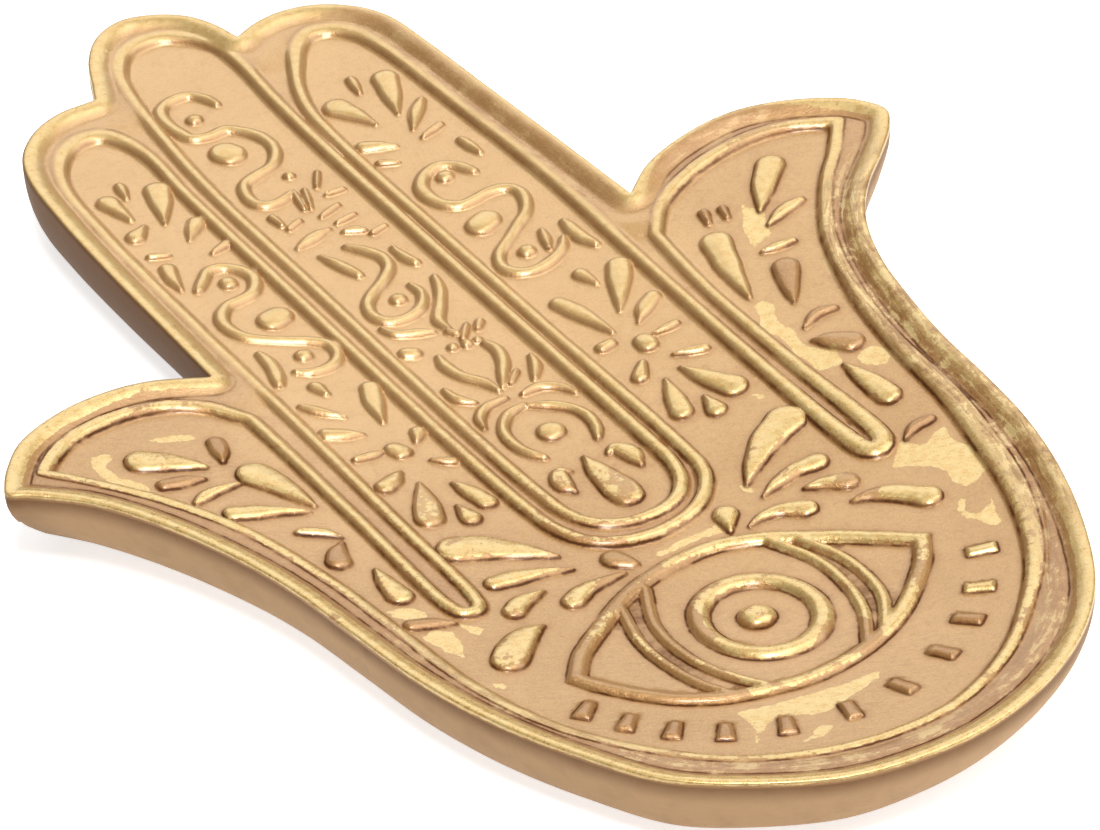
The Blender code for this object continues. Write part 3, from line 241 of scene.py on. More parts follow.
# Raised motifs, each a line of middle points with half widths: gilded ones
GILDED_MOTIFS = [
    [(-18.8, 80, 2.3), (-20.5, 76, 1.6), (-22.8, 71.2, 0.3)], [(-23.4, 84.7, 1.2), (-24.3, 81, 0.4)],
    [(-27.6, 81.6, 1.8), (-27, 75.2, 0.6)], [(-29, 70.6, 1.5), (-26, 72.5, 0.6)], [(-18.2, 68.6, 1.5),
    (-19.8, 67.2, 1.1), (-21.8, 65, 0.3)], [(-17.5, 60.6, 0.8), (-20.5, 59.8, 0.3)], [(-30, 64.5, 0.8),
    (-27, 63, 0.3)], [(-29.3, 60, 1.3), (-30.2, 57, 1.1), (-30.6, 53.6, 0.4)], [(-28.3, 52, 1.1),
    (-26.4, 53.7, 1), (-23.9, 55.75, 1), (-21.4, 55.4, 1), (-19.2, 52.9, 1.1), (-18.6, 50.4, 1.1),
    (-19.5, 48.25, 1.1), (-21.4, 46.5, 1.1), (-23.9, 46.1, 1), (-26.4, 45.75, 1), (-28.6, 44.2, 1.1),
    (-29.8, 42, 1.1), (-29.8, 39.5, 1.1), (-28.9, 37, 1), (-26.4, 34.5, 0.9), (-23.25, 32.3, 0.9),
    (-20.1, 30.1, 1), (-18.1, 27.6, 1), (-18.6, 24.4, 1), (-21, 22.6, 1), (-24.3, 22.6, 0.9),
    (-27, 24.2, 0.8)], [(-23, 51, 1.4), (-23, 51.2, 1.4)], [(-22.4, 38.4, 2.5), (-21, 38.8, 2.4)],
    [(-29.4, 31.6, 0.9), (-29.3, 29, 1.1), (-30, 25.5, 1.2), (-31.2, 22.6, 1.2)], [(-23.4, 27.4, 1.4),
    (-23.3, 27.4, 1.4)], [(-26.4, 19, 1.2), (-26, 16.4, 0.5)], [(-31.5, 15.4, 0.9), (-29.5, 12.6, 0.9),
    (-27, 9.4, 0.3)], [(-19, 14, 1.7), (-20.6, 10.5, 1.6), (-22.4, 5, 0.4)], [(-32, 6.8, 1.4),
    (-29.5, 5.2, 1.2), (-27, 3.8, 0.3)], [(-31.9, -1.6, 0.9), (-28.5, -2, 0.7), (-26.8, -2, 0.3)],
    [(-19, -0.2, 1.3), (-20.6, -2.2, 0.4)], [(-24.8, -2.4, 1.7), (-24.4, -3.4, 1.7)], [(-32, -10.4, 1.6),
    (-30, -9.6, 1.4), (-27.5, -8, 0.3)], [(-18.5, -10, 1.1), (-21.5, -7.8, 0.3)], [(-30.6, -21.3, 2.4),
    (-28.8, -17.5, 1.9), (-26.7, -12.2, 0.3)], [(-20.2, -22, 1.7), (-20.9, -18.5, 1.5), (-22, -15, 0.4)],
    [(-24.9, -24.6, 1.7), (-24.9, -20.6, 0.3)], [(-31.6, -31, 3.4), (-28, -32.6, 3), (-23.5, -36.2, 1.9),
    (-19, -40.7, 0.4)], [(-31.8, -42, 1.6), (-28, -42.3, 1.7), (-24, -43.2, 1.2), (-19, -45, 0.3)],
    [(-33.6, -50.2, 1.7), (-31, -48.6, 1.6), (-26.4, -47.8, 0.3)], [(-24, -52.6, 1.8), (-20.5, -50.9, 1.5),
    (-16, -50.4, 0.8), (-12.6, -50.4, 0.3)], [(-11.9, -46.2, 2), (-10, -49.2, 1.2)], [(-42, -61.6, 2.8),
    (-38.5, -58.5, 2.7), (-35, -56.6, 1.6), (-31.8, -55.9, 0.3)], [(18.6, 82, 2.4), (20, 78.6, 1.5),
    (21.4, 74, 0.3)], [(24.9, 87.4, 1.2), (24, 83.2, 0.4)], [(29.7, 84, 2.2), (28.2, 80, 1.7),
    (26, 74.3, 0.3)], [(31.3, 75, 1), (28.5, 72.5, 1.1), (25.6, 69, 0.3)], [(30, 67.2, 0.8),
    (25.8, 66.2, 0.5)], [(16.2, 70, 1.3), (18.5, 68.6, 1.1), (20.8, 66.8, 0.4)], [(15.9, 64.6, 0.9),
    (18.5, 62.8, 0.4)], [(30.4, 61.4, 1.2), (31, 56.5, 0.6)], [(27.4, 52.9, 1), (25.5, 56.4, 1),
    (23, 57.9, 1), (19.9, 57, 1.1), (17.7, 54.5, 1.2), (17.4, 51.4, 1.2), (18.6, 48.25, 1.1),
    (20.5, 46.7, 1), (23, 46.5, 1), (26.1, 46.7, 1), (28.9, 45.75, 1), (30.2, 43.9, 1), (29.9, 41.4, 1),
    (28, 38.25, 1), (24.9, 36.1, 1), (21.1, 33.6, 1), (18, 31.4, 1), (16.75, 28.4, 1), (18, 25.9, 1),
    (20.5, 24.6, 1), (24.25, 24.9, 1), (27.4, 26.5, 0.9), (29.1, 28.6, 0.7)], [(22.7, 54.8, 1.4),
    (22.6, 54.8, 1.4)], [(20, 40.1, 2.4), (21.6, 40.6, 2.4)], [(22.4, 29.6, 1.4), (22.3, 29.6, 1.4)],
    [(27.3, 32.5, 0.7), (26.5, 30, 0.8), (25.6, 27.8, 0.5)], [(31.5, 32, 1.1), (31.4, 27, 1.2),
    (32.3, 23.6, 1)], [(25.9, 18.8, 1.3), (26.7, 15, 0.4)], [(18.8, 14.8, 1.5), (20.2, 10, 1.5),
    (21.6, 3, 0.4)], [(32, 16.4, 2.1), (29.5, 12.6, 1.8), (25.6, 6.8, 0.3)], [(31.8, 6.2, 1.3),
    (29.3, 4.8, 1.4), (26.4, 2.4, 0.3)], [(26.5, -1.8, 0.3), (30.8, -2, 1)], [(24.3, -2.2, 1.7),
    (24.2, -3.2, 1.7)], [(18, 0.9, 1.1), (19.6, 0.9, 1)], [(18.5, -9.3, 1.3), (21, -6.5, 0.8)],
    [(30.8, -10.4, 1.2), (26, -8.2, 0.3)], [(18.8, -20.9, 1.9), (20, -17, 1.4), (21.4, -12.5, 0.3)],
    [(28.8, -21.2, 2.3), (26.9, -17, 1.7), (25, -11.6, 0.3)], [(23.4, -24.2, 1.6), (23.8, -20.2, 0.3)],
    [(30.1, -34.2, 3.3), (25.4, -36.1, 2.7), (20.4, -39.4, 1.6), (16.2, -43.2, 0.3)], [(28, -46.2, 1.7),
    (24, -45.6, 1.5), (20, -46.2, 1), (16.6, -47.4, 0.3)], [(28.6, -53.6, 1.8), (26, -51.6, 1.4),
    (22.6, -50.3, 0.3)], [(19.8, -54.6, 1.9), (17, -52.4, 1.4), (13.5, -51.6, 0.9), (10.5, -52.2, 0.3)],
    [(35.6, -66, 2.3), (33, -62.2, 1.9), (30, -59.5, 1.4), (26.4, -58.2, 0.3)], [(9.2, -47.2, 1.9),
    (7.3, -51.3, 0.4)], [(2.8, 95.4, 0.9), (1.9, 98.2, 0.9), (0, 100.5, 0.9), (-3.75, 100.7, 1),
    (-6.25, 99.1, 1.1), (-7.2, 96, 1.1), (-6.9, 92.25, 1.1), (-5.9, 89.4, 1), (-3.1, 88.3, 1), (0, 88.2, 1),
    (2, 86.3, 1), (3.6, 83.5, 1), (4.1, 80.4, 1), (3.1, 77.25, 1), (0.6, 74.9, 1), (-3.1, 74.1, 1),
    (-6, 72.9, 1), (-7.2, 70.4, 1), (-7.2, 67.6, 1), (-5.8, 66, 1), (-3.1, 65.7, 0.9), (-0.6, 66.6, 0.8)],
    [(-2.8, 93.8, 1.3), (-2.7, 93.8, 1.3)], [(-3.6, 82.6, 2.7), (-3.2, 81.8, 2.7)], [(1.6, 71, 0.8),
    (1.8, 70.8, 0.8)], [(-0.2, 66.5, 0.6), (-1.3, 61.5, 0.4)], [(1.6, 66, 0.6), (-0.2, 61, 0.3)],
    [(6.2, 69, 0.5), (3.8, 65.5, 0.4)], [(7.2, 62.4, 0.5), (4, 62.8, 0.4)], [(-7, 62.5, 0.7),
    (-6.8, 59.8, 0.4)], [(-3.8, 59.2, 0.5), (-6.2, 58.4, 0.5)], [(4, 59.2, 0.6), (0, 58.2, 0.5)],
    [(4.8, 55.4, 0.5), (1.2, 55.2, 0.5)], [(-8, 53, 0.5), (-4.5, 54, 1.1), (-0.8, 54.4, 0.4)],
    [(0.8, 52.5, 0.6), (2.6, 51.8, 0.9), (3.8, 50.7, 0.6)], [(7.2, 49.8, 0.4), (4.6, 49.4, 0.5)],
    [(-6.2, 49, 0.5), (-4.8, 45, 1), (-3.6, 41, 1.1)], [(-1.25, 48.8, 0.8), (0.6, 46.4, 0.9),
    (2.2, 42.9, 1), (1.6, 40, 1), (-1.25, 37.4, 1), (-4.4, 35.6, 1), (-6.9, 33.4, 1), (-7.8, 30.6, 1),
    (-6.9, 28.1, 1), (-4.4, 26.9, 1), (-1.25, 27.2, 1), (0.9, 28.75, 0.9), (2.2, 31.25, 0.8),
    (1.9, 34, 0.7)], [(-1.9, 31.9, 1.3), (-1.8, 31.9, 1.3)], [(5, 44, 0.7), (5.2, 41, 0.9), (6, 38.4, 1.1)],
    [(6.4, 33.5, 0.8), (5.2, 30, 0.9), (2.8, 26.4, 1), (0.4, 23, 1), (0.6, 20.5, 0.7)], [(-8.6, 26.5, 0.7),
    (-7.5, 24.2, 0.8), (-4.5, 22.6, 0.9), (-2, 21.2, 0.7)], [(-8.8, 18.8, 1.3), (-7.8, 18.2, 1.3)],
    [(3.6, 19.6, 0.6), (1, 16.8, 0.6)], [(0.2, 19.8, 0.6), (1, 18.6, 0.5)], [(5.8, 19, 0.7),
    (4.6, 17.8, 0.5)], [(-1.6, 16, 0.8), (-1.5, 16, 0.8)], [(0.8, 15.4, 0.9), (0.9, 15.4, 0.9)],
    [(2.8, 15.2, 0.7), (2.9, 15.2, 0.7)], [(-5, 15, 0.8), (-5.4, 12.5, 1), (-4.7, 8.75, 1), (-2.5, 5, 0.9),
    (-1.7, 2, 0.6)], [(3.4, 14, 0.8), (4, 11.25, 1), (3.1, 8.1, 1), (1.25, 5.3, 0.9), (-0.6, 2.5, 0.6)],
    [(-9.2, 7, 0.6), (-8.8, 4, 0.9), (-6.9, 1.5, 0.6)], [(7.6, 6.6, 0.6), (6.8, 4, 0.9), (4.8, 1.2, 0.7)],
    [(0.8, 2.4, 0.5), (3.5, 4.6, 0.6)], [(-2, -0.4, 0.6), (-6, -0.6, 0.8), (-8.6, -2.6, 0.8),
    (-9.4, -5.2, 0.4)], [(1, -1, 0.7), (4, -1, 0.8), (6.8, -3, 0.8), (8.2, -6, 0.4)], [(-0.6, -3.4, 0.7),
    (-4.4, -4.4, 0.9), (-7.2, -7.5, 0.9), (-7.8, -11.25, 0.9), (-7.2, -14.4, 0.9), (-5.6, -17.2, 0.7)],
    [(0, -4, 0.7), (3.1, -6.25, 0.9), (5.6, -9.4, 0.9), (6.25, -12.5, 0.9), (5.6, -15.6, 0.9),
    (4.4, -17.8, 0.7)], [(-0.9, -11.9, 2.2), (-0.8, -11.9, 2.2)], [(-0.4, -20.6, 0.3), (-0.5, -26, 2),
    (-0.3, -31, 2.8), (-0.3, -33, 2.6)], [(-6.6, -27.6, 0.3), (-7.2, -24.6, 1.6), (-5.8, -21.8, 1.1),
    (-4.2, -22.6, 0.3)], [(3.4, -22.2, 0.4), (4.8, -21.6, 1), (6.2, -24, 1.7), (6, -28, 0.4)],
    [(-62, 15.4, 2.7), (-58.5, 13, 2.2), (-54, 8.8, 0.5)], [(-48.2, 3, 2.9), (-46.6, -1.5, 2.3),
    (-44.8, -9.4, 0.4)], [(-60.6, 0.8, 0.8), (-57.5, 2, 1.1), (-52, 2, 0.4)], [(-57, -4.8, 1.8),
    (-53.5, -6.4, 1.6), (-49.5, -8.4, 0.9), (-46.4, -10.4, 0.3)], [(-51.3, -14.4, 0.6), (-50.4, -14.7, 0.9),
    (-47.5, -16.8, 0.8), (-46, -19, 0.3)], [(-46.9, -37.5, 2.1), (-46.7, -33.5, 1.5), (-46.2, -29.4, 0.3)],
    [(66.4, 21.4, 2.3), (62.8, 18, 2), (58, 12.4, 0.4)], [(64.8, 10.2, 1), (61, 9.8, 1.2), (57, 8.4, 0.4)],
    [(52, 3.2, 0.4), (55, 2.6, 0.8), (57.6, 2, 0.6)], [(47.6, 10.4, 2.5), (45.6, 4, 2), (43.6, -5, 0.4)],
    [(46, -40.8, 2.1), (45.8, -36, 1.8), (45.2, -29.6, 0.3)]]

# Raised motifs left in the brown of the casting
BROWN_MOTIFS = [
    [(-62.3, 7.8, 1.3), (-59, 7, 1.3), (-56, 6, 0.4)], [(-48.9, 13.8, 1.4), (-49.6, 11.5, 1.3),
    (-50.8, 8.6, 0.4)], [(-50, -24.6, 2), (-48.9, -22.6, 1.4), (-46.6, -20.4, 0.3)], [(-49.7, -45.6, 1.3),
    (-46.5, -46.8, 1.2), (-43.6, -48.4, 0.4)], [(52.6, -2.6, 2.1), (50.6, -6.4, 1.6), (48.4, -11, 0.3)],
    [(50.5, 18.2, 0.8), (49.6, 15.5, 0.4)], [(53.5, 17, 0.7), (52.8, 14.6, 0.4)], [(46, -17.4, 0.3),
    (49.5, -16, 1), (52.4, -16.8, 0.9)], [(49.4, -25.6, 2.2), (47.6, -23.4, 1.8), (45, -21, 0.3)],
    [(41.6, -51.8, 0.3), (44.5, -50.4, 1), (47.6, -50.6, 1)]]

# Places where the gilding is worn off the relief: middle and reach
BARE_SPOTS = [(-37, -73, 9), (-30, -84, 8), (-24, -88, 7), (-15, -66, 5), (5, -88, 5), (28, -57, 4)]

# Loose patches of leaf gold on the floor, by their outlines
LEAF_PATCHES = [
    [(41.4, -51.3), (41.4, -53), (43.2, -55), (46.1, -53.7), (48.4, -53.7), (47, -57.5), (48.2, -61),
    (48.2, -63.9), (47.1, -67.5), (44.9, -68.1), (42.9, -68.9), (41.4, -67.8), (41.2, -65.1), (41.9, -63),
    (40.7, -60.4), (38.7, -57.9), (36.1, -55.7), (38.8, -53.4)], [(39.4, -69.1), (39.5, -71.1),
    (37.4, -72.8), (38.8, -75.3), (40.5, -75.1), (43.9, -71.9), (41.2, -76.8), (40.2, -80.6), (38.8, -79.7),
    (38, -76.4), (36.9, -74.7), (37.5, -72)], [(-21.3, -93.7), (-15.7, -95.3), (-8.9, -96.3), (-2.5, -98.1),
    (3.2, -98.2), (1.7, -100.1), (-1.6, -100.9), (-6, -101.8), (-10.2, -102.3), (-13.2, -101.2),
    (-16.5, -98.5), (-19.4, -99.9), (-22.4, -102.2), (-24.6, -103.3), (-21.8, -99.9), (-21.1, -96.2)],
    [(-19.1, -106.8), (-15.7, -106.8), (-13.2, -105.1), (-11.5, -106.6), (-13.9, -108.3), (-17, -108)],
    [(-5.3, -48.7), (-1.5, -47.9), (3.4, -48.3), (6.1, -48.3), (8.3, -45.9), (6.4, -50.5), (5.3, -50.3),
    (2.6, -49.5), (-1.4, -49.6), (-4.8, -49.9)], [(-50, -49.2), (-47.3, -48), (-46.4, -49), (-45, -49.8),
    (-45.4, -53.3), (-47.6, -57.8), (-48.4, -55.9), (-49, -54.6), (-48.9, -52.8), (-49.8, -50.9)],
    [(-51.3, -40.3), (-49.2, -40.4), (-47.1, -41.4), (-45.3, -43.7), (-46.9, -44.5), (-49.5, -43.5),
    (-50.9, -42.2)], [(-43.1, -48.1), (-42, -49.3), (-40.3, -51.8), (-42.4, -52.9), (-42.8, -50.6)],
    [(-48.1, -65.2), (-46, -66.9), (-47.1, -67.7), (-48.4, -66.5)], [(42.8, -6.9), (45.1, -7), (45.9, -9.1),
    (43.5, -12.4), (44.3, -16.3), (43.3, -20.5), (44.5, -23.2), (47.4, -24.7), (45.1, -29.1), (41.6, -27.8),
    (41.7, -24.2), (41, -21.7), (41.9, -16.9), (40.7, -13.5), (42.3, -9.5)], [(47.8, -29), (52.2, -28.6),
    (53, -32.8), (50.1, -34.3), (47.9, -31.8)], [(56.7, 15.8), (58.1, 12), (56.3, 6.5), (51.1, 4.9),
    (53.4, 10.6)], [(-68.6, 21.3), (-65.2, 20.7), (-65.3, 19.1), (-67.7, 17.8), (-67.2, 13.6), (-64.4, 9.7),
    (-65, 7.2), (-67.4, 9.9), (-69.8, 14.8), (-69.4, 18.4)], [(-58.2, 20.5), (-54, 19.6), (-50.4, 17.5),
    (-51.6, 16.6), (-55.8, 18.2)], [(30, -25.1), (31.4, -25.7), (31.6, -27.1), (30.1, -27)], [(19.5, -29.2),
    (21.5, -28.6), (21.5, -29.2), (19.7, -30)], [(15, -41.7), (16.2, -43.2), (16.7, -45.7), (15.6, -45.6),
    (15, -43.2)]]


def spline(points, closed=False, step=0.4):
    """Dense points along a smooth curve through the given ones (centripetal Catmull-Rom)."""
    p = np.array(points, float)
    if closed:
        p = np.vstack([p[-1], p, p[0], p[1]])
    else:
        p = np.vstack([2 * p[0] - p[1], p, 2 * p[-1] - p[-2]])
    dense = []
    for a, b, c, d in zip(p[:-3], p[1:-2], p[2:-1], p[3:]):
        t1 = math.sqrt(np.linalg.norm(b - a))
        t2 = t1 + math.sqrt(np.linalg.norm(c - b))
        t3 = t2 + math.sqrt(np.linalg.norm(d - c))
        count = max(2, math.ceil(np.linalg.norm(c - b) / step))
        t = np.linspace(t1, t2, count, endpoint=False)[:, None]
        ab = (t1 - t) / t1 * a + t / t1 * b
        bc = (t2 - t) / (t2 - t1) * b + (t - t1) / (t2 - t1) * c
        cd = (t3 - t) / (t3 - t2) * c + (t - t2) / (t3 - t2) * d
        abc = (t2 - t) / t2 * ab + t / t2 * bc
        bcd = (t3 - t) / (t3 - t1) * bc + (t - t1) / (t3 - t1) * cd
        dense.append((t2 - t) / (t2 - t1) * abc + (t - t1) / (t2 - t1) * bcd)
    if not closed:
        dense.append(p[-2][None, :])
    return np.vstack(dense)


def evenly(line, step, closed=False):
    """Points at even spacing along a polyline."""
    path = np.vstack([line, line[:1]]) if closed else line
    run = np.concatenate([[0], np.cumsum(np.linalg.norm(np.diff(path[:, :2], axis=0), axis=1))])
    count = max(2, round(run[-1] / step))
    at = np.linspace(0, run[-1], count, endpoint=False) if closed else np.linspace(0, run[-1], count + 1)
    return np.stack([np.interp(at, run, path[:, k]) for k in range(path.shape[1])], 1)


def normals(line, closed):
    """Unit normals on the left of a line's direction."""
    along = np.roll(line, -1, 0) - np.roll(line, 1, 0) if closed else np.gradient(line, axis=0)
    across = np.stack([-along[:, 1], along[:, 0]], 1)
    return across / np.maximum(np.linalg.norm(across, axis=1), 1e-9)[:, None]


def inside(points, loop):
    """True for the points within a closed line."""
    a, b = loop, np.roll(loop, -1, 0)
    rise = np.where(b[:, 1] == a[:, 1], 1e-12, b[:, 1] - a[:, 1])
    found = np.zeros(len(points), bool)
    for part in np.array_split(np.arange(len(points)), len(points) // 4000 + 1):
        x, y = points[part][:, 0][:, None], points[part][:, 1][:, None]
        crossing = a[:, 0] + (y - a[:, 1]) * (b[:, 0] - a[:, 0]) / rise
        found[part] = (((a[:, 1] > y) != (b[:, 1] > y)) & (x < crossing)).sum(1) % 2 == 1
    return found


class Track:
    """A curve in plan that tells how far points are from it."""

    def __init__(self, line, closed):
        self.line = line
        self.closed = closed
        self.a = line if closed else line[:-1]
        self.b = np.roll(line, -1, 0) if closed else line[1:]
        self.tree = KDTree(len(self.a))
        for k, (p, q) in enumerate(zip(self.a, self.b)):
            self.tree.insert(((p[0] + q[0]) / 2, (p[1] + q[1]) / 2, 0), k)
        self.tree.balance()
        self.loop = line[::4]

    def off(self, points):
        """Distance of each point from the curve."""
        near = np.array([self.tree.find((x, y, 0))[1] for x, y in points], int)
        best = np.full(len(points), 1e9)
        for step in (-1, 0, 1):
            k = (near + step) % len(self.a) if self.closed else np.clip(near + step, 0, len(self.a) - 1)
            a, ab = self.a[k], self.b[k] - self.a[k]
            t = np.clip(((points - a) * ab).sum(1) / np.maximum((ab * ab).sum(1), 1e-12), 0, 1)
            best = np.minimum(best, np.linalg.norm(points - a - t[:, None] * ab, axis=1))
        return best

    def holds(self, points):
        """True for the points inside a closed curve."""
        return inside(points, self.loop)

    def along(self, points):
        """Distance along the curve of the place next to each point."""
        run = np.concatenate([[0], np.cumsum(np.linalg.norm(self.b - self.a, axis=1))])
        return run[[self.tree.find((x, y, 0))[1] for x, y in points]]


# Size of the drawing, and the middle of its box as origin
EDGE_DRAWING = [spline(s) for s in (THUMBS_AND_HEEL, LEFT_FINGER, MIDDLE_FINGER, RIGHT_FINGER)]
DRAWN = np.vstack(EDGE_DRAWING)
DRAWN_MIDDLE = (DRAWN.max(0) + DRAWN.min(0)) / 2
SCALE = np.array([HAND_WIDTH, HAND_LENGTH]) / (DRAWN.max(0) - DRAWN.min(0))


def place(points):
    """Drawn points at the size of the part, centred on its box; a half width stays as it is."""
    p = np.array(points, float)
    p[:, :2] = (p[:, :2] - DRAWN_MIDDLE) * SCALE
    return p


def drawn(points):
    """Points of the part as they lie in the drawing."""
    return points / SCALE + DRAWN_MIDDLE


def ramp(value, low, high):
    """0 at low, 1 at high and straight between them."""
    return np.clip((value - low) / (high - low), 0, 1)


EDGE_STRETCHES = [place(s) for s in EDGE_DRAWING]
EDGE = Track(np.vstack([s[:-1] for s in EDGE_STRETCHES]), True)
PALM = Track(np.vstack([spline(place(s))[:-1] for s in PALM_RIB]), True)
PANEL = Track(spline(place(PANEL_RIB), True), True)
EYE_LINES = [spline(place(EYE_TOP)), spline(place(EYE_BOTTOM))]
EYE = Track(np.vstack([s[:-1] for s in EYE_LINES]), True)
LID_TRACKS = [Track(spline(place(s)), False) for s in LIDS]
IRIS = place([IRIS_CENTRE])[0]
PUPIL = place([PUPIL_CENTRE])[0]


def motif_line(points):
    """Middle line of a motif with its half widths."""
    line = evenly(spline(place(points), step=0.25), 0.25)
    run = np.arange(len(line)) * 0.25
    if run[-1] > 3:
        for end, away in ((0, run), (-1, run[-1] - run)):
            if line[end, 2] < 1.3:
                line[:, 2] *= 0.62 + 0.38 * np.clip(away / 2.4, 0, 1) ** 0.7
        line[:, 2] *= 1 + 0.03 * np.sin(run * 0.9 + line[0, 0])
    line[:, 2] = np.maximum(line[:, 2], 0.15)
    return line


MOTIF_LINES = [motif_line(m) for m in GILDED_MOTIFS + BROWN_MOTIFS]


def dished_floor(points):
    """Height of the smooth dish under all the relief."""
    x, y = (drawn(points) - DISH_MIDDLE).T
    reach = np.where(y > 0, DISH_FINGERS, DISH_HEEL)
    return FLOOR_Z + DISH_DEPTH * (1 - np.exp(-(x / DISH_SIDE) ** 2 - (y / reach) ** 2))


def swell(depth, run, soft=0.6):
    """Bevel with a rounded top edge: 0 at the outline, 1 well inside."""
    t = np.maximum(depth / run, 0)
    return np.minimum(t, 1) - np.maximum(soft - np.abs(t - 1), 0) ** 2 / (4 * soft)


def bell(off, core, tail):
    """Broad crest of half width core that runs out in a hollow foot: 1 on the middle line, 0 outside."""
    fall = 1 / (1 + 0.5 * CREST_POWER * tail / core)
    crest = 1 - fall * np.minimum(off / core, 1) ** CREST_POWER
    foot = (1 - fall) * np.clip((core + tail - off) / tail, 0, 1) ** 2
    return np.where(off < core, crest, foot)


def tablet_taper(x):
    """Share by which a tablet gets narrower towards the eye."""
    return 0.45 if x < -10 else 0.1


def tablet_depth(points, x, y, turn):
    """Depth inside a tablet's outline, negative outside, corners a little rounded."""
    middle = place([(x, y)])[0]
    c, s = math.cos(math.radians(turn)), math.sin(math.radians(turn))
    rel = points - middle
    along = rel[:, 0] * c + rel[:, 1] * s
    width = TABLET_WIDTH * (1 - tablet_taper(x) * along / TABLET_LENGTH)
    u = np.abs(along) - TABLET_LENGTH / 2 - FOOT + TABLET_CORNER
    v = np.abs(-rel[:, 0] * s + rel[:, 1] * c) - width / 2 - FOOT + TABLET_CORNER
    outside = np.hypot(np.maximum(u, 0), np.maximum(v, 0))
    return TABLET_CORNER - outside - np.minimum(np.maximum(u, v), 0)


def motif_depth(points, line):
    """Depth inside a motif's outline, negative outside."""
    best = np.full(len(points), -1e9)
    for x, y, r in line:
        best = np.maximum(best, r + FOOT - np.hypot(points[:, 0] - x, points[:, 1] - y))
    return best


def near_box(points, line, room):
    """Indices of the points round a line."""
    low, high = line[:, :2].min(0) - room, line[:, :2].max(0) + room
    return np.flatnonzero(((points > low) & (points < high)).all(1))


def rib_half(track, points):
    """Half width of a rib, wider at the finger tips and where the outer one passes the right of the palm."""
    at = drawn(points)
    away = np.min([np.hypot(*(at - tip).T) for tip in FINGER_TIPS], 0)
    half = RIB_WIDTH / 2 * (1 + TIP_WIDENING * np.exp(-(away / TIP_REACH) ** 4))
    if track is PALM:
        x, y = at.T
        half *= 1 + PALM_WIDENING * ramp(x, 22, 36) * np.exp(-((y + 66) / 30) ** 2)
    return half


def palm_share(points):
    """1 in the palm and the left thumb, where the leaf is crisp and torn, 0 where it is rubbed."""
    x, y = drawn(points).T
    thumbs = np.maximum(ramp(x, -34, -50), 0.7 * ramp(x, 40, 52)) * ramp(y, 46, 34)
    return np.maximum(ramp(y, 10, -35), thumbs)


def right_finger(points):
    """Weight of the painted shade, browner towards the rib, on the sloping band inside the rim on the right
    of the right finger.
    """
    x, y = drawn(points).T
    return ramp(x, 30, 35) * ramp(y, 26, 34)


def worn_side(points, edge):
    """Weight of the streaky wear on the right of the hand and on the ledge of the heel."""
    x, y = drawn(points).T
    side = ramp(x, 26, 38) * ramp(y, -98, -73) * ramp(y, 16, 4)
    heel = 0.6 * ramp(edge, 3, 4) * ramp(y, -30, -60)
    finger = 0.25 * right_finger(points) * ramp(edge, 0.8, 1.4)
    return np.max([side, heel, finger], 0) * ramp(edge, 9, 7)


